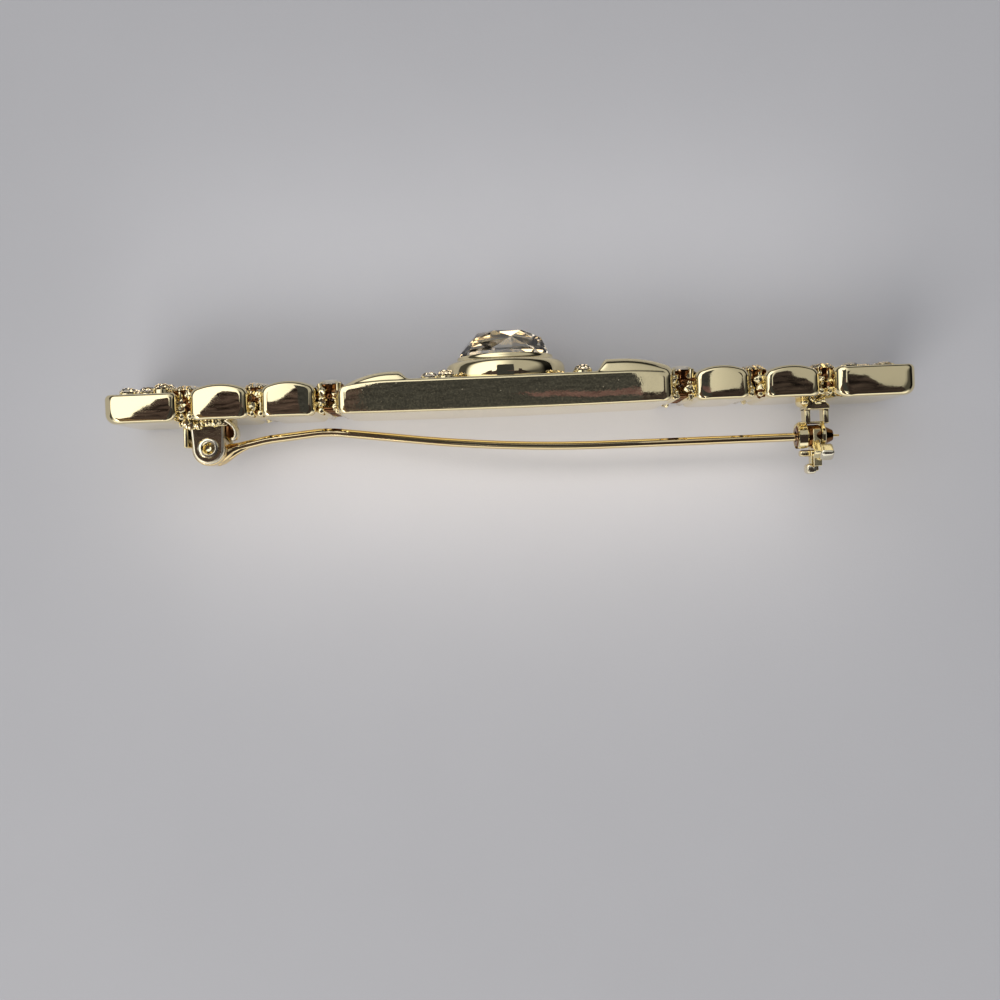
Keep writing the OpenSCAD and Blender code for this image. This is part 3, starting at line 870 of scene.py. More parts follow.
def painted_shade_metal(finish):
    """Painted shade: a dark tea-brown mirror that stands in for the shade in recesses, between bright
    edges.
    """
    return plated(
        "dark_brown_painted_shade", finish.shade_brown, finish.shade_brown_deep, finish.dust,
        roughness=0.06, dust_share=0.03, peel=0.003 * MM,
    )


def rim_highlight_metal(finish):
    """Painted highlight: a pale satin white on the rims, an even pale line round a darker face."""
    return plated(
        "pale_satin_rim_painted_highlight", finish.pale_highlight, finish.cast, finish.dust,
        roughness=0.26, dust_share=0.02, peel=0.001 * MM, smear=1.3,
    )


def bar_places(bar):
    """Half length of the panel, and X ranges of the two links and the end piece on the +X side."""
    panel_end = bar.panel_length / 2
    inner = (panel_end + bar.panel_gap, panel_end + bar.panel_gap + bar.inner_link)
    outer = (inner[1] + bar.link_gap, inner[1] + bar.link_gap + bar.outer_link)
    end = (outer[1] + bar.end_gap, BAR_END)
    return panel_end, inner, outer, end


class BROOCH_OT_panel(bpy.types.Operator):
    """Builds the centre panel with its two raised caps"""

    bl_idname = "brooch.panel"
    bl_label = "Centre panel"

    def execute(self, context):
        bar, finish = context.scene.brooch_bar, context.scene.brooch_finish
        half = bar.thickness / 2
        panel_end = bar_places(bar)[0]
        run = panel_end - bar.cap_peak
        radius = (run ** 2 + bar.cap_drop ** 2) / (2 * bar.cap_drop)
        z_range = (BAR_LOW.z, BAR_HIGH.z)
        ends = (-panel_end, panel_end + bar.panel_extra)

        def front(x, z):
            rise_share, shift, fall_share = CAPS[1 if x > 0 else -1]
            away = max(abs(x) - bar.cap_peak, 0)
            fall = fall_share * (radius - math.sqrt(max(radius ** 2 - away ** 2, 0)))
            start = bar.cap_start + shift * MM
            ramp = smooth(abs(x), start - bar.cap_slope / 2, start + bar.cap_slope / 2)
            depth = min(z - z_range[0], z_range[1] - z) - bar.cap_ledge
            share = 1 - min(max(depth / bar.cap_round, 0), 1)
            swell = math.sqrt(1 - share ** 2)
            return -half - (bar.cap_rise * rise_share * ramp * swell - fall * min(1, 0.35 + swell))

        def back(x, z):
            return half + bar.panel_belly * (1 - (x / panel_end) ** 2)

        bm = bmesh.new()
        cast_block(
            bm, ends, z_range, front, back, (0.5 * MM, bar.corner), 1.1 * MM, 0.36 * MM,
            step=0.24 * MM,
        )
        polish(bm, bar, ends, z_range, 3)
        make_piece("centre_panel", bm, [panel_gold(finish)], stands_for=["bar_frame"])
        return {"FINISHED"}


class BROOCH_OT_links(bpy.types.Operator):
    """Builds the four swelled links"""

    bl_idname = "brooch.links"
    bl_label = "Links"

    def execute(self, context):
        bar, finish = context.scene.brooch_bar, context.scene.brooch_finish
        half = bar.thickness / 2
        z_range = (MID_Z - bar.link_height / 2, MID_Z + bar.link_height / 2)
        inner, outer = bar_places(bar)[1:3]
        for side_name, side in SIDES.items():
            for place, (near, far) in (("inner", inner), ("outer", outer)):
                name = f"link_{place}_{side_name}"
                inner_off, outer_off, front_off, back_off = (off * MM for off in OFF_PLACE[name])
                ends = sorted((side * (near + inner_off), side * (far + outer_off)))
                middle, reach = sum(ends) / 2, (ends[1] - ends[0]) / 2

                def front(x, z):
                    fall = bar.link_bow * abs((x - middle) / reach) ** 2.2
                    swell = bar.link_swell * (1 - ((z - MID_Z) / (bar.link_height / 2)) ** 2)
                    return -half - bar.link_lift + front_off + fall - swell

                bm = bmesh.new()
                cast_block(
                    bm, ends, z_range, front, lambda x, z: half + back_off, (0.5 * MM, bar.corner),
                    0.8 * MM, bar.edge,
                )
                polish(bm, bar, ends, z_range, 11 + 5 * middle / MM, filed=FILED[name])
                make_piece(name, bm, [cast_gold(finish)], stands_for=["bar_frame"])
        return {"FINISHED"}


class BROOCH_OT_ends(bpy.types.Operator):
    """Builds the two end pieces"""

    bl_idname = "brooch.ends"
    bl_label = "End pieces"

    def execute(self, context):
        bar, finish = context.scene.brooch_bar, context.scene.brooch_finish
        half = bar.thickness / 2 - 0.05 * MM
        z_range = (MID_Z - bar.end_height / 2, MID_Z + bar.end_height / 2)
        near, far = bar_places(bar)[3]
        for side_name, side in SIDES.items():
            name = f"end_piece_{side_name}"
            inner_off, outer_off, front_off, back_off = (off * MM for off in OFF_PLACE[name])
            ends = sorted((side * (near + inner_off), side * (far + outer_off)))
            plan, slanted = (0.6 * MM, 1.05 * MM) if side > 0 else (1.35 * MM, 0.0)
            bm = bmesh.new()
            cast_block(
                bm, ends, z_range, lambda x, z: -half + front_off, lambda x, z: half + back_off,
                (0.45 * MM, 1.1 * MM), plan, bar.edge, slanted=slanted,
            )
            polish(bm, bar, ends, z_range, 31 + side, filed=FILED[name])
            make_piece(name, bm, [cast_gold(finish)], stands_for=["bar_frame"])
        return {"FINISHED"}


class BROOCH_OT_bezel(bpy.types.Operator):
    """Builds the stepped oval bezel"""

    bl_idname = "brooch.bezel"
    bl_label = "Bezel"

    def execute(self, context):
        bar, finish = context.scene.brooch_bar, context.scene.brooch_finish
        low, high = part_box("main_crystal")
        oval = (high.z - low.z) / (high.x - low.x)
        front = -bar.thickness / 2
        sides = 160
        bm = bmesh.new()
        rings = []
        for half, up in BEZEL_WALL:
            rings.append([
                (half * MM * math.cos(a), front - up * MM, MID_Z + half * MM * oval * math.sin(a))
                for a in between(0, 2 * math.pi, sides)[:-1]
            ])
        made = [[bm.verts.new(p) for p in ring] for ring in rings]
        for inner, outer in zip(made, made[1:]):
            for i in range(sides):
                j = (i + 1) % sides
                bm.faces.new((inner[i], inner[j], outer[j], outer[i]))
        bm.faces.new(made[-1])
        bm.faces.new(reversed(made[0]))
        make_piece("oval_bezel", bm, [cast_gold(finish)], stands_for=["bar_frame"])
        return {"FINISHED"}


class BROOCH_OT_crystal(bpy.types.Operator):
    """Builds the large oval crystal"""

    bl_idname = "brooch.crystal"
    bl_label = "Oval crystal"

    def execute(self, context):
        finish = context.scene.brooch_finish
        low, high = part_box("main_crystal")
        half = high.x
        oval = (high.z - low.z) / (high.x - low.x)
        girdle_y = -4.12 * MM
        girdle, table = 0.3 * MM, 2.85 * MM
        table_up = girdle_y - low.y - 0.28 * MM
        bm = bmesh.new()
        brilliant(
            bm, (0, girdle_y, MID_Z), half - 0.03 * MM, table, girdle, table_up, high.y - girdle_y,
            squash=oval, mains=6, spin=0.17,
        )
        materials = [
            cut_glass("dense_lead_glass", finish.glass, 1.66),
            silver_foil("lacquered_silver_foil", finish.lacquer, dullest=0.16),
        ]
        make_piece("oval_crystal", bm, materials, stands_for=["main_crystal"], angle=1)
        return {"FINISHED"}


class BROOCH_OT_stones(bpy.types.Operator):
    """Builds the columns of round stones and their prong cups"""

    bl_idname = "brooch.stones"
    bl_label = "Stones in prong cups"

    def execute(self, context):
        sizes, finish = context.scene.brooch_stones, context.scene.brooch_finish
        bar = context.scene.brooch_bar
        pitch = sizes.column_pitch
        gaps = {"panel": bar.panel_gap, "links": bar.link_gap, "end": bar.end_gap}
        materials = [cut_glass("cut_lead_glass", finish.glass), silver_foil("silver_foil", finish.foil)]
        for node in STONE_COLUMNS:
            low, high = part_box(node)
            along_off, _, front_off, _ = OFF_PLACE[node.split("_", 1)[1]]
            x, radius = (low.x + high.x) / 2 + along_off * MM, (high.x - low.x) / 2
            front = low.y + (0.48 + front_off) * MM
            girdle_y = front + 0.5 * MM
            stones, cups, shaded_walls = bmesh.new(), bmesh.new(), bmesh.new()
            gap = gaps[node.split("_")[1]]
            for k in (-1, 0, 1):
                centre = (x, girdle_y, MID_Z + k * pitch)
                brilliant(
                    stones, centre, radius - 0.02 * MM, radius * sizes.table_share, 0.06 * MM,
                    girdle_y - front, high.y - girdle_y, mains=sizes.facets, spin=0.3 + k,
                )
                self.cup(cups, shaded_walls, Vector(centre), radius, gap, sizes)
            reach = pitch + 1.35 * MM
            side = max(gap / 2 - 0.25 * MM, 0.42 * MM)
            spine_y, rail_y = -0.35 * MM, 1.12 * MM
            rod(shaded_walls, [(x, spine_y, MID_Z - reach), (x, spine_y, MID_Z + reach)], [0.3 * MM] * 2)
            for rail_x in (x - side, x + side):
                rod(cups, [(rail_x, rail_y, MID_Z - reach), (rail_x, rail_y, MID_Z + reach)],
                    [0.36 * MM] * 2)
            seed = STONE_COLUMNS.index(node)
            self.lumps(cups, x, side, reach, girdle_y, seed, 12 if "panel" in node else 7)
            self.lumps(shaded_walls, x, side, reach, girdle_y, seed + 20, 2)
            make_piece(node.replace("stones", "cut_stones"), stones, materials,
                       stands_for=[node], angle=1)
            make_piece(node.replace("stones", "prongs"), cups, [setting_gold(finish)],
                       stands_for=["bar_frame"])
            # The cup walls, the spine and the tie bars get a dark brown that paints the shade between the
            # castings
            make_piece(node.replace("stones", "cup_walls_painted_shade"), shaded_walls, [painted_shade_metal(finish)],
                       stands_for=["bar_frame"])
        return {"FINISHED"}

    def lumps(self, bm, x, side, reach, girdle_y, seed, count):
        """Ragged solder and casting skin that closes a column's two ends."""
        rng = random.Random(40 + seed)
        places = []
        for end in (-1, 1):
            for k in range(count):
                y = rng.uniform(girdle_y + 0.5 * MM, 1.2 * MM)
                across = x + rng.choice((-1, 1)) * side * rng.uniform(0.7, 1.15)
                places.append((across, y, MID_Z + end * (reach + rng.uniform(-0.45, 0.05) * MM)))
        solder(bm, places, seed, size=0.85)

    def cup(self, bm, shaded_walls, centre, radius, gap, sizes):
        """Tapered cup of one stone, with its four prongs and their tie bars."""
        wall = 0.16 * MM
        turned(
            shaded_walls,
            [(radius + 0.05 * MM, 0.05 * MM), (radius + 0.02 * MM, 0.12 * MM),
             (radius - wall, 0.04 * MM), (radius * 0.52, 0.95 * MM), (radius * 0.5, 1.25 * MM),
             (radius * 0.62, 1.25 * MM), (radius * 0.66, 0.95 * MM)],
            centre, (0, 1, 0), sides=32,
        )
        side = max(gap / 2 - 0.2 * MM, 0.45 * MM)
        for dx in (-1, 1):
            for dz in (-1, 1):
                foot = Vector((centre.x + dx * side, 1.1 * MM, centre.z + dz * 0.92 * MM))
                knee = Vector((centre.x + dx * side, centre.y + 0.5 * MM, centre.z + dz * 1.0 * MM))
                top = centre + Vector((dx * side * 1.02, -0.02 * MM, dz * 1.02 * MM))
                over = centre + Vector((dx * side * 0.86, -0.12 * MM, dz * 0.86 * MM))
                radii = [sizes.prong * share for share in (1.05, 0.95, 1, 1.1, 0.85)]
                rod(bm, [foot, foot.lerp(knee, 0.5), knee, top, over], radii)
        for y in (-0.4 * MM, 0.95 * MM):
            for dz in (-1, 1):
                z = centre.z + dz * 0.96 * MM
                rod(shaded_walls, [(centre.x - gap / 2 - 0.2 * MM, y, z), (centre.x + gap / 2 + 0.2 * MM, y, z)],
                    [0.22 * MM] * 2)


class BROOCH_OT_pave(bpy.types.Operator):
    """Builds the four paved fields of small stones and beads"""

    bl_idname = "brooch.pave"
    bl_label = "Paved fields"

    # How far a field stands out at its inner end, and how much it falls to its outer end, in
    # millimetres: the fields of the end pieces were not set alike
    RISES = {"hinge_side": (0.14, 0.62), "catch_side": (-0.66, 0)}

    def execute(self, context):
        sizes, finish = context.scene.brooch_stones, context.scene.brooch_finish
        bar = context.scene.brooch_bar
        front = -bar.thickness / 2
        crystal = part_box("main_crystal")
        oval = (crystal[1].z - crystal[0].z) / (crystal[1].x - crystal[0].x)
        materials = [cut_glass("cut_lead_glass", finish.glass), silver_foil("silver_foil", finish.foil)]
        rng = random.Random(5)
        for where in ("panel", "end"):
            for side_name in SIDES:
                node = f"pave_{where}_{side_name}"
                low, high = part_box(node)
                stones, beads = bmesh.new(), bmesh.new()
                radius, pitch = sizes.pave_diameter / 2, sizes.pave_pitch
                row_pitch = pitch * 0.9
                width, height = high.x - low.x, high.z - low.z
                columns, rows = int((width - 2 * radius) / row_pitch) + 1, int(height / pitch)
                x_first = (low.x + high.x) / 2 - (columns - 1) * row_pitch / 2
                near_end = min(low.x, high.x, key=abs)
                ground = front
                if where == "end":
                    ground += (0.05 + OFF_PLACE[f"end_piece_{side_name}"][2]) * MM
                spots = []
                for c in range(columns):
                    count = rows if c % 2 == 0 else rows - 1
                    for r in range(count):
                        x = x_first + c * row_pitch
                        z = MID_Z + (r - (count - 1) / 2) * pitch
                        if where == "panel" and math.hypot(x, (z - MID_Z) / oval) < 6.25 * MM + radius:
                            continue
                        spots.append((x, z))
                for x, z in spots:
                    share = (abs(x) - abs(near_end)) / width
                    rise, fall = self.RISES[side_name] if where == "end" else (0.05, 0)
                    lift = rng.uniform(-0.05, 0.12) * MM + (rise - fall * share) * MM
                    table = ground - front + 0.7 * MM + lift
                    girdle = max(table - 0.5 * MM, 0.45 * table)
                    pavilion = min(0.6 * MM, girdle - 0.03 * MM)
                    brilliant(
                        stones, (x, ground - girdle, z), radius, radius * sizes.table_share,
                        0.05 * MM, table - girdle, pavilion, mains=6, spin=rng.uniform(0, 1),
                    )
                    self.seat(beads, x, z, ground - girdle + 0.2 * MM, radius, sizes.bead, rng)
                make_piece(f"paved_stones_{where}_{side_name}", stones, materials,
                           stands_for=[node], angle=1)
                make_piece(f"paved_beads_{where}_{side_name}", beads, [setting_gold(finish)])
        return {"FINISHED"}

    def seat(self, bm, x, z, front, radius, bead, rng):
        """Low collar around a stone and the four beads that hold it."""
        centre = Vector((x, front, z))
        section = [(radius + out * MM, behind * MM) for out, behind in COLLAR]
        turned(bm, section, centre, (0, 1, 0), sides=24)
        start = rng.uniform(0, 0.5)
        for k in range(4):
            a = start + math.pi / 4 + k * math.pi / 2
            out = radius + 0.02 * MM
            spot = Vector((x + out * math.cos(a), front - 0.14 * MM, z + out * math.sin(a)))
            made = bmesh.ops.create_icosphere(bm, subdivisions=2, radius=bead)
            bmesh.ops.translate(bm, vec=spot, verts=made["verts"])


class BROOCH_OT_hinge(bpy.types.Operator):
    """Builds the hinge joint and its tube rivet"""

    bl_idname = "brooch.hinge"
    bl_label = "Hinge"

    def execute(self, context):
        findings, finish = context.scene.brooch_findings, context.scene.brooch_finish
        bar = context.scene.brooch_bar
        back = bar.thickness / 2
        x, y, _ = HINGE
        inner = findings.eye_width / 2 + 0.1 * MM
        outer = inner + findings.ear_thickness
        bm = bmesh.new()
        cx = x - findings.ear_shift
        outline = (
            arc((cx, y), findings.ear, 0, 180, 28)
            + [(cx - findings.ear - 0.06 * MM, 3.2 * MM)]
            + [(cx - findings.ear - 0.1 * MM, back - 0.1 * MM)]
            + [(cx + findings.ear + 0.2 * MM, back - 0.1 * MM)]
            + [(cx + findings.ear + 0.1 * MM, 2.9 * MM)]
        )
        for side in (-1, 1):
            z0, z1 = sorted((MID_Z + side * inner, MID_Z + side * outer))
            rounded_plate(bm, outline, z0, z1, findings.ear_rim)
        # The ears' rims get a pale satin metal that paints their highlight line
        ears = make_piece("hinge_ears", bm, [setting_gold(finish), rim_highlight_metal(finish)],
                          stands_for=["bar_frame"])
        drill = bmesh.new()
        turned(drill, [(0.77 * MM, -4 * MM), (0.77 * MM, 4 * MM)], HINGE, (0, 0, 1), closed=False)
        cut_away(ears, drill)
        ears.data.set_sharp_from_angle(angle=math.radians(5))

        bm = bmesh.new()
        low_z, high_z = MID_Z - outer, MID_Z + outer
        soft_box(bm, (HINGE_BASE[0] * MM, back - 0.1 * MM, low_z - 0.15 * MM),
                 (HINGE_BASE[1] * MM, back + 0.5 * MM, high_z + 0.15 * MM), 0.16 * MM)
        soft_box(bm, (HINGE_WALL[0] * MM, back, low_z), (HINGE_WALL[1] * MM, 4.25 * MM, high_z),
                 0.2 * MM)
        make_piece("hinge_base", bm, [setting_gold(finish)], stands_for=["bar_frame"],
                   flat=True)
        self.stop(finish, high_z)
        bm = bmesh.new()
        for z, row in ((high_z + 0.05 * MM, 4), (low_z - 0.05 * MM, 9)):
            rng = random.Random(row)
            spots = []
            for k in range(10):
                spots.append((29.3 * MM + k * 0.4 * MM, back + rng.uniform(0.0, 0.42) * MM, z))
            solder(bm, spots, row, size=0.9)
        make_piece("hinge_solder", bm, [setting_gold(finish)], stands_for=["bar_frame"])
        self.rivet(finish, outer + 0.03 * MM)
        return {"FINISHED"}

    def rivet(self, finish, end):
        """Tube rivet, closed at mid-depth, with a lip hammered over each ear and a bit to one side."""
        upper = [(radius * MM, end + up * MM) for radius, up in RIVET_END]
        profile = upper + [(r, -h) for r, h in reversed(upper)]
        bm = bmesh.new()
        turned(bm, profile, HINGE, (0, 0, 1), sides=48)
        lip_shift, hole = 0.22 * MM, 0.56 * MM
        for v in bm.verts:
            v.co.x -= lip_shift * smooth(abs(v.co.z - HINGE.z), end - 0.01 * MM, end + 0.08 * MM)
        for face in bm.faces:
            away = face.calc_center_median() - HINGE
            face.material_index = 1 if math.hypot(away.x, away.y) < hole else 0
        make_piece("tube_rivet", bm, [pale_metal_and_highlight(finish), setting_gold(finish)],
                   stands_for=["hinge_rivet"])

    def stop(self, finish, high_z):
        """Bent sheet that the pin rests on, bowed away from the ears, with a dark brown plate in its
        hollow as painted shade.
        """
        half = 0.13 * MM
        low_z = MID_Z + 0.5 * MM
        sheet, rims = bmesh.new(), bmesh.new()
        path = [Vector((x * MM, y * MM, 0)) for x, y in STOP_BOW]
        near, far = [], []
        for i, point in enumerate(path):
            along = (path[min(i + 1, len(path) - 1)] - path[max(i - 1, 0)]).normalized()
            across = Vector((-along.y, along.x, 0)) * half
            near.append(point + across)
            far.append(point - across)
        outline = [(p.x, p.y) for p in near + far[::-1]]
        plate(sheet, outline, low_z, high_z, 0.05 * MM)
        make_piece("hinge_stop", sheet, [setting_gold(finish)], stands_for=["bar_frame"])
        # The stop's rims get the same pale satin metal as a painted highlight line
        rod(rims, [(p.x, p.y, high_z) for p in path], [0.17 * MM] * len(path), sides=12)
        make_piece("hinge_stop_rims", rims, [rim_highlight_metal(finish)], stands_for=["bar_frame"])
        # Painted shade: a dark brown plate fills the hollow so that it reads dark
        shade_plate = bmesh.new()
        inside = [(p.x + 0.06 * MM, p.y) for p in path]
        inside += [(29.0 * MM, 3.3 * MM), (29.3 * MM, 1.6 * MM)]
        plate(shade_plate, inside, low_z + 0.1 * MM, high_z - 0.5 * MM, 0.04 * MM)
        make_piece("hinge_hollow_painted_shade", shade_plate, [painted_shade_metal(finish)], stands_for=["bar_frame"])


def pin_path():
    """Points of the pin's middle line with round bends, from the eye to where the taper starts."""
    corners = [Vector((x * MM, y * MM, MID_Z)) for x, y, _ in PIN_CORNERS]
    points = [corners[0]]
    for i in range(1, len(corners) - 1):
        into = (corners[i] - corners[i - 1]).normalized()
        out = (corners[i + 1] - corners[i]).normalized()
        turn = into.angle(out)
        radius = PIN_CORNERS[i][2] * MM
        reach = radius * math.tan(turn / 2)
        hand = 1 if into.cross(out).z > 0 else -1
        start = corners[i] - into * reach
        centre = start + hand * radius * Vector((-into.y, into.x, 0))
        for a in between(0, hand * turn, 24):
            points.append(centre + Matrix.Rotation(a, 3, "Z") @ (start - centre))
    points.append(corners[-1])
    even = [points[0]]
    for before, after in zip(points, points[1:]):
        count = max(1, round((after - before).length / (0.6 * MM)))
        even += [before.lerp(after, k / count) for k in range(1, count + 1)]
    return even


class BROOCH_OT_pin(bpy.types.Operator):
    """Builds the pin with its eye, bent stem and point"""

    bl_idname = "brooch.pin"
    bl_label = "Pin"

    def execute(self, context):
        findings, finish = context.scene.brooch_findings, context.scene.brooch_finish
        wire = findings.wire / 2
        points = pin_path()
        end = Vector((-findings.tip, points[-1].y, MID_Z))
        points += [points[-1].lerp(end, k / 14) for k in range(1, 15)]
        travelled, radii = 0, []
        for i, point in enumerate(points):
            travelled += (point - points[i - 1]).length if i else 0
            neck = 1 - smooth(travelled, 0.1 * MM, 2.6 * MM)
            taper = smooth((points[-1] - point).length, 0, 5.2 * MM)
            wobble = 0.012 * MM * noise.noise(point / (2.5 * MM))
            radii.append((wire + wobble) * (0.25 + 0.75 * taper ** 0.7) + 0.6 * MM * neck ** 1.4)
        bm = bmesh.new()
        rod(bm, points, radii, sides=24)
        stem = make_piece("pin_wire", bm, [wire_gold(finish)], body="pin",
                          stands_for=["pin_stem"])
        rim = 0.3 * MM
        drill = bmesh.new()
        turned(drill, [(findings.eye - rim, -3 * MM), (findings.eye - rim, 3 * MM)], HINGE,
               (0, 0, 1), closed=False)
        cut_away(stem, drill)
        half = findings.eye_width / 2
        bore = 0.85 * MM
        bm = bmesh.new()
        outer = arc((findings.eye - rim, half - rim), rim, 0, 90, 5)
        profile = [(bore, half)] + outer[::-1] + [(r, -h) for r, h in outer] + [(bore, -half)]
        turned(bm, profile, HINGE, (0, 0, 1), sides=56)
        rod(bm, [(x * MM, y * MM, MID_Z) for x, y, _ in NECK_FILLET], [r * MM for _, _, r in NECK_FILLET])
        make_piece("pin_eye", bm, [wire_gold(finish)], body="pin", stands_for=["pin_stem"])
        return {"FINISHED"}


def c_ring(bm, x0, x1, inner, outer, throat):
    """Ring around the sleeve's axis, open towards +Y for the pin."""
    rim = 0.1 * MM
    section = (
        (inner, inner, x0 + rim), (inner + rim, inner, x0), (outer - rim, outer, x0),
        (outer, outer, x0 + rim), (outer, outer, x1 - rim), (outer - rim, outer, x1),
        (inner + rim, inner, x1), (inner, inner, x1 - rim),
    )
    rings = []
    for share in between(0, 1, 40):
        ring = []
        for radius, side, x in section:
            opening = math.asin(throat / 2 / side)
            a = opening + share * (2 * math.pi - 2 * opening)
            ring.append(Vector((x, CATCH.y + radius * math.cos(a), CATCH.z + radius * math.sin(a))))
        rings.append(ring)
    loft(bm, rings)


class BROOCH_OT_catch(bpy.types.Operator):
    """Builds the catch's housing and its turning sleeve"""

    bl_idname = "brooch.catch"
    bl_label = "Safety catch"

    def execute(self, context):
        self.housing(context)
        self.turning_sleeve(context)
        return {"FINISHED"}

    def housing(self, context):
        """Two rings on two legs, soldered to the bar by a bent foot."""
        findings, finish = context.scene.brooch_findings, context.scene.brooch_finish
        back = context.scene.brooch_bar.thickness / 2
        x, y, z = CATCH
        bore = findings.sleeve + 0.07 * MM
        bm = bmesh.new()
        c_ring(bm, x + 0.68 * MM, x + 1.72 * MM, bore, findings.ring, findings.throat)
        c_ring(bm, x - 1.12 * MM, x - 0.68 * MM, bore, findings.ring, findings.throat)
        top = y - findings.ring + 0.2 * MM
        for x0, x1 in ((x + 0.3 * MM, x + 0.95 * MM), (x - 1.62 * MM, x - 0.98 * MM)):
            soft_box(bm, (x0, back + 0.85 * MM, z - 0.75 * MM), (x1, top, z + 0.75 * MM), 0.18 * MM)
        soft_box(bm, (x - 1.5 * MM, y - 1.5 * MM, z - 0.4 * MM),
                 (x + 1.5 * MM, y - 1.22 * MM, z + 0.4 * MM), 0.08 * MM)
        foot = [(x + dx * MM, back + dy * MM) for dx, dy in CATCH_FOOT]
        plate(bm, foot, z - 1.2 * MM, z + 1.2 * MM, 0.16 * MM)
        drop = Vector((x + 0.85 * MM, back + 0.3 * MM, z))
        for v in bmesh.ops.create_icosphere(bm, subdivisions=3, radius=1 * MM)["verts"]:
            v.co = Vector((v.co.x * 0.8, v.co.y * 0.58, v.co.z * 1.3)) + drop
        spots = [
            (x + dx * MM, back + dy * MM, z + 1.1 * MM)
            for dx, dy in ((-0.9, 0.15), (-0.4, 0.3), (0.1, 0.1))
        ]
        solder(bm, spots, 21, size=0.8)
        make_piece("catch_housing", bm, [setting_gold(finish)], stands_for=["bar_frame"],
                   flat=True)

    def turning_sleeve(self, context):
        """Slotted barrel that turns in the rings, with its levers and thumb pieces."""
        findings, finish = context.scene.brooch_findings, context.scene.brooch_finish
        x, y, z = CATCH
        r = findings.sleeve
        profile = [
            (0.55 * MM, 1.78 * MM), (r - 0.12 * MM, 1.78 * MM), (r, 1.68 * MM), (r, 0.62 * MM),
            (1.15 * MM, 0.58 * MM), (1.15 * MM, -0.58 * MM), (r, -0.62 * MM), (r, -1.1 * MM),
            (0.98 * MM, -1.22 * MM), (0.6 * MM, -1.98 * MM), (0.58 * MM, -2.02 * MM),
            (0.5 * MM, -2.02 * MM),
        ]
        bm = bmesh.new()
        turned(bm, profile, CATCH, (1, 0, 0), sides=56)
        # The barrel's dark brown is painted shade
        barrel = make_piece("catch_barrel", bm, [painted_shade_metal(finish)], body="sleeve",
                            stands_for=["catch_sleeve"])
        slot = bmesh.new()
        soft_box(slot, (x - 3 * MM, y - 0.49 * MM, z - 3 * MM), (x + 3 * MM, y + 0.49 * MM, z),
                 0.01 * MM)
        cut_away(barrel, slot)
        arms, thumbs = bmesh.new(), bmesh.new()
        for low, high, rounding, degrees in BARREL_PLATES:
            lean = Matrix.Translation(CATCH) @ Matrix.Rotation(math.radians(degrees), 4, "Y")
            soft_box(arms, Vector(low) * MM, Vector(high) * MM, rounding * MM, lean)
        for degrees, *lengths in LEVERS:
            self.lever(arms, thumbs, degrees, *[millimetres * MM for millimetres in lengths])
        make_piece("catch_levers", arms, [catch_gold(finish)], body="sleeve",
                   stands_for=["catch_sleeve"], flat=True)
        # The thumb pieces' pale metal is a painted highlight
        make_piece("catch_thumb_pieces", thumbs, [pale_metal_and_highlight(finish)], body="sleeve",
                   stands_for=["catch_sleeve"], flat=True)

    def lever(self, arms, thumbs, degrees, tip, x0, x1, deep):
        """Flat lever out of the barrel with a thumb piece turned over at its tip."""
        turn = Matrix.Translation(CATCH) @ Matrix.Rotation(math.radians(degrees), 4, "X")
        soft_box(arms, (-0.4 * MM, 0.85 * MM, -0.55 * MM), (0.4 * MM, tip - 0.3 * MM, 0.55 * MM),
                 0.14 * MM, turn)
        soft_box(thumbs, (x0, tip - deep, -0.7 * MM), (x1, tip, 0.7 * MM), 0.38 * MM, turn, segments=5)


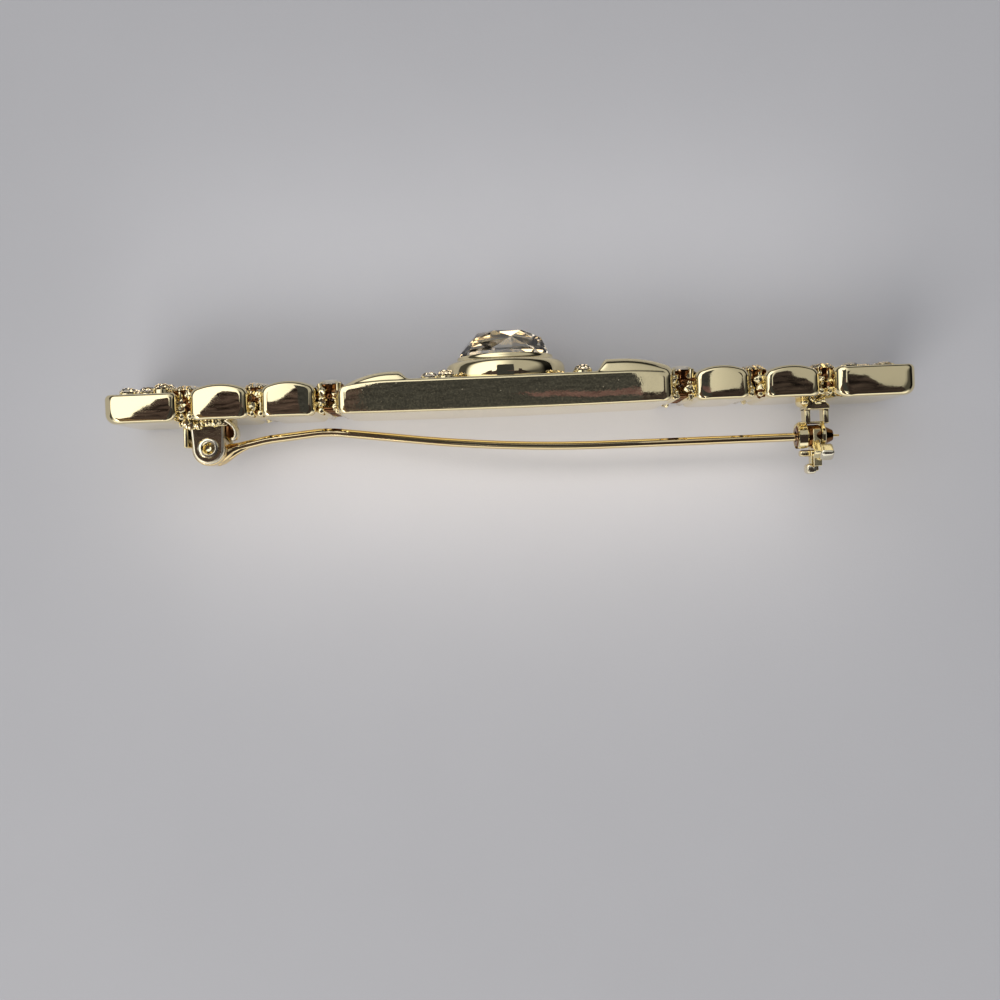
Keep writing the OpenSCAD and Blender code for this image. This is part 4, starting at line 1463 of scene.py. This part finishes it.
class BROOCH_OT_stage(bpy.types.Operator):
    """Builds the surface, the light and the camera"""

    bl_idname = "brooch.stage"
    bl_label = "Stage"

    def execute(self, context):
        scene = context.scene
        stage = scene.brooch_stage
        bm = bmesh.new()
        bmesh.ops.create_grid(bm, x_segments=1, y_segments=1, size=3)
        mesh = bpy.data.meshes.new("surface")
        bm.to_mesh(mesh)
        bm.free()
        mesh.materials.append(paper("matt_paper", stage.surface))
        surface = bpy.data.objects.new("surface", mesh)
        scene.collection.objects.link(surface)
        self.room(scene)
        self.wall(scene, stage)
        for name, (hex_colour, height, calm, outline) in CARDS.items():
            self.card(scene, name, hex_colour, height, calm, outline)
        window = self.soft_light(scene, "window", (0.3, 0.22), stage.window, stage.window_tint)
        window.location = stage.window_place
        window.rotation_euler = (-window.location).to_track_quat("-Z", "Y").to_euler()
        for name, place, size, energy, tint in BOUNCES:
            source = self.soft_light(scene, name, [side * MM for side in size], energy, tint)
            source.location = Vector(place) * MM
            source.visible_camera = source.visible_glossy = source.visible_transmission = False
        camera = bpy.data.objects.new("camera", bpy.data.cameras.new("camera"))
        camera.data.lens = stage.lens
        camera.data.clip_start = 5 * MM
        camera.location = stage.camera
        camera.rotation_euler = (0, 0, math.pi + stage.roll)
        scene.collection.objects.link(camera)
        scene.camera = camera
        scene.view_settings.view_transform = "Standard"
        return {"FINISHED"}

    def soft_light(self, scene, name, size, energy, tint):
        """Rectangular soft light, facing down until it is turned."""
        lamp = bpy.data.lights.new(name, "AREA")
        lamp.energy = energy
        lamp.shape = "RECTANGLE"
        lamp.size, lamp.size_y = size
        lamp.color = tint
        source = bpy.data.objects.new(name, lamp)
        scene.collection.objects.link(source)
        return source

    def room(self, scene):
        """Room around the table: bright towards the window, grey away from it, dark at the horizon.

        A screen darkens it behind the catch, and a pale strip lies low behind the pin.
        """
        world = bpy.data.worlds.new("room")
        world.use_nodes = True
        tree = world.node_tree
        tree.nodes.clear()
        place = add(tree, "ShaderNodeTexCoord").outputs["Generated"]
        way = add(tree, "ShaderNodeSeparateXYZ", {0: place})
        lean = add(
            tree, "ShaderNodeMath", {0: way.outputs["X"], 1: -0.7, 2: way.outputs["Y"]},
            operation="MULTIPLY_ADD",
        )
        ramps = {}
        for part, value, start, stop, low, high in (
            ("side", way.outputs["X"], -0.25, 0.3, 0.46, 1.62),
            ("screen", lean.outputs[0], 0.15, 0.5, 1, 0.16),
            ("height", way.outputs["Z"], 0.3, 0.55, 0.04, 1),
            ("behind", way.outputs["Y"], 0.3, 0.7, 0, 1.1),
            ("strip", way.outputs["Z"], 0.35, 0.6, 1, 0),
        ):
            ramps[part] = add(
                tree, "ShaderNodeMapRange",
                {"Value": value, "From Min": start, "From Max": stop, "To Min": low, "To Max": high},
                interpolation_type="SMOOTHSTEP",
            ).outputs["Result"]
        lit = add(tree, "ShaderNodeMath", {0: ramps["side"], 1: ramps["screen"]}, operation="MULTIPLY")
        above = add(
            tree, "ShaderNodeMath", {0: lit.outputs[0], 1: ramps["height"]}, operation="MULTIPLY"
        )
        glow = add(
            tree, "ShaderNodeMath", {0: ramps["behind"], 1: ramps["strip"], 2: above.outputs[0]},
            operation="MULTIPLY_ADD",
        )
        background = add(
            tree, "ShaderNodeBackground", {"Color": (0.985, 0.99, 1.0, 1), "Strength": glow.outputs[0]}
        )
        output = add(tree, "ShaderNodeOutputWorld")
        tree.links.new(background.outputs[0], output.inputs["Surface"])
        scene.world = world

    def sheet(self, scene, name, corners, material):
        """Flat sheet of the stage that throws no shadow and that only mirrors and glass show."""
        mesh = bpy.data.meshes.new(name)
        mesh.from_pydata(corners, [], [list(range(len(corners)))])
        mesh.materials.append(material)
        sheet = bpy.data.objects.new(name, mesh)
        scene.collection.objects.link(sheet)
        sheet.visible_camera = sheet.visible_diffuse = sheet.visible_shadow = False
        return sheet

    def card(self, scene, name, hex_colour, height, calm, outline):
        """Dark shape above the table, streaked as the room that the metal mirrors is."""
        material, tree, output = new_material(name)
        count, detail, darkest, brightest = STREAKS[calm]
        place = add(tree, "ShaderNodeTexCoord").outputs["Object"]
        stretch = add(tree, "ShaderNodeMapping", {"Vector": place, "Scale": count})
        streaks = add(
            tree, "ShaderNodeTexNoise",
            {"Vector": stretch.outputs["Vector"], "Scale": 1, "Detail": detail, "Roughness": 0.7},
        )
        strength = add(
            tree, "ShaderNodeMapRange",
            {"Value": streaks.outputs["Fac"], "From Min": 0.35, "From Max": 0.65,
             "To Min": darkest, "To Max": brightest},
        )
        glow = add(
            tree, "ShaderNodeEmission",
            {"Color": rgba(linear(hex_colour)), "Strength": strength.outputs["Result"]},
        )
        tree.links.new(glow.outputs[0], output.inputs["Surface"])
        self.sheet(scene, name, [(x * MM, y * MM, height) for x, y in outline], material)

    def wall(self, scene, stage):
        """Cream wall in front of the stones, which only light that went through glass shows."""
        material, tree, output = new_material("cream_wall")
        glow = add(
            tree, "ShaderNodeEmission", {"Color": rgba(stage.wall), "Strength": stage.wall_glow}
        )
        tree.links.new(glow.outputs[0], output.inputs["Surface"])
        foot, top = WALL_Z
        corners = [
            (-WALL_HALF, WALL_Y, foot), (WALL_HALF, WALL_Y, foot),
            (WALL_HALF, WALL_Y, top), (-WALL_HALF, WALL_Y, top),
        ]
        self.sheet(scene, "cream_wall", corners, material).visible_glossy = False


class BROOCH_PT_panel(bpy.types.Panel):
    """Sizes, colours and steps of the brooch"""

    bl_idname = "BROOCH_PT_panel"
    bl_label = "Bar Brooch"
    bl_space_type = "VIEW_3D"
    bl_region_type = "UI"
    bl_category = "Brooch"

    def draw(self, context):
        for operator in OPERATORS:
            self.layout.operator(operator.bl_idname)
        for name in SETTINGS:
            group = getattr(context.scene, name)
            box = self.layout.box()
            for key in group.__annotations__:
                box.prop(group, key)


SETTINGS = {
    "brooch_bar": BroochBar,
    "brooch_stones": BroochStones,
    "brooch_findings": BroochFindings,
    "brooch_finish": BroochFinish,
    "brooch_stage": BroochStage,
}
OPERATORS = (
    BROOCH_OT_panel, BROOCH_OT_links, BROOCH_OT_ends, BROOCH_OT_bezel, BROOCH_OT_crystal,
    BROOCH_OT_stones, BROOCH_OT_pave, BROOCH_OT_hinge, BROOCH_OT_pin, BROOCH_OT_catch,
    BROOCH_OT_stage,
)


def register():
    """Registers the classes and hangs the settings on the scene."""
    for cls in (*SETTINGS.values(), *OPERATORS, BROOCH_PT_panel):
        bpy.utils.register_class(cls)
    for name, group in SETTINGS.items():
        setattr(bpy.types.Scene, name, PointerProperty(type=group))


def unregister():
    """Takes back what register did."""
    for name in SETTINGS:
        delattr(bpy.types.Scene, name)
    for cls in reversed((*SETTINGS.values(), *OPERATORS, BROOCH_PT_panel)):
        bpy.utils.unregister_class(cls)


def main():
    """Builds the brooch and its stage."""
    register()
    for operator in OPERATORS:
        group, name = operator.bl_idname.split(".")
        getattr(getattr(bpy.ops, group), name)()


if __name__ == "__main__":
    main()
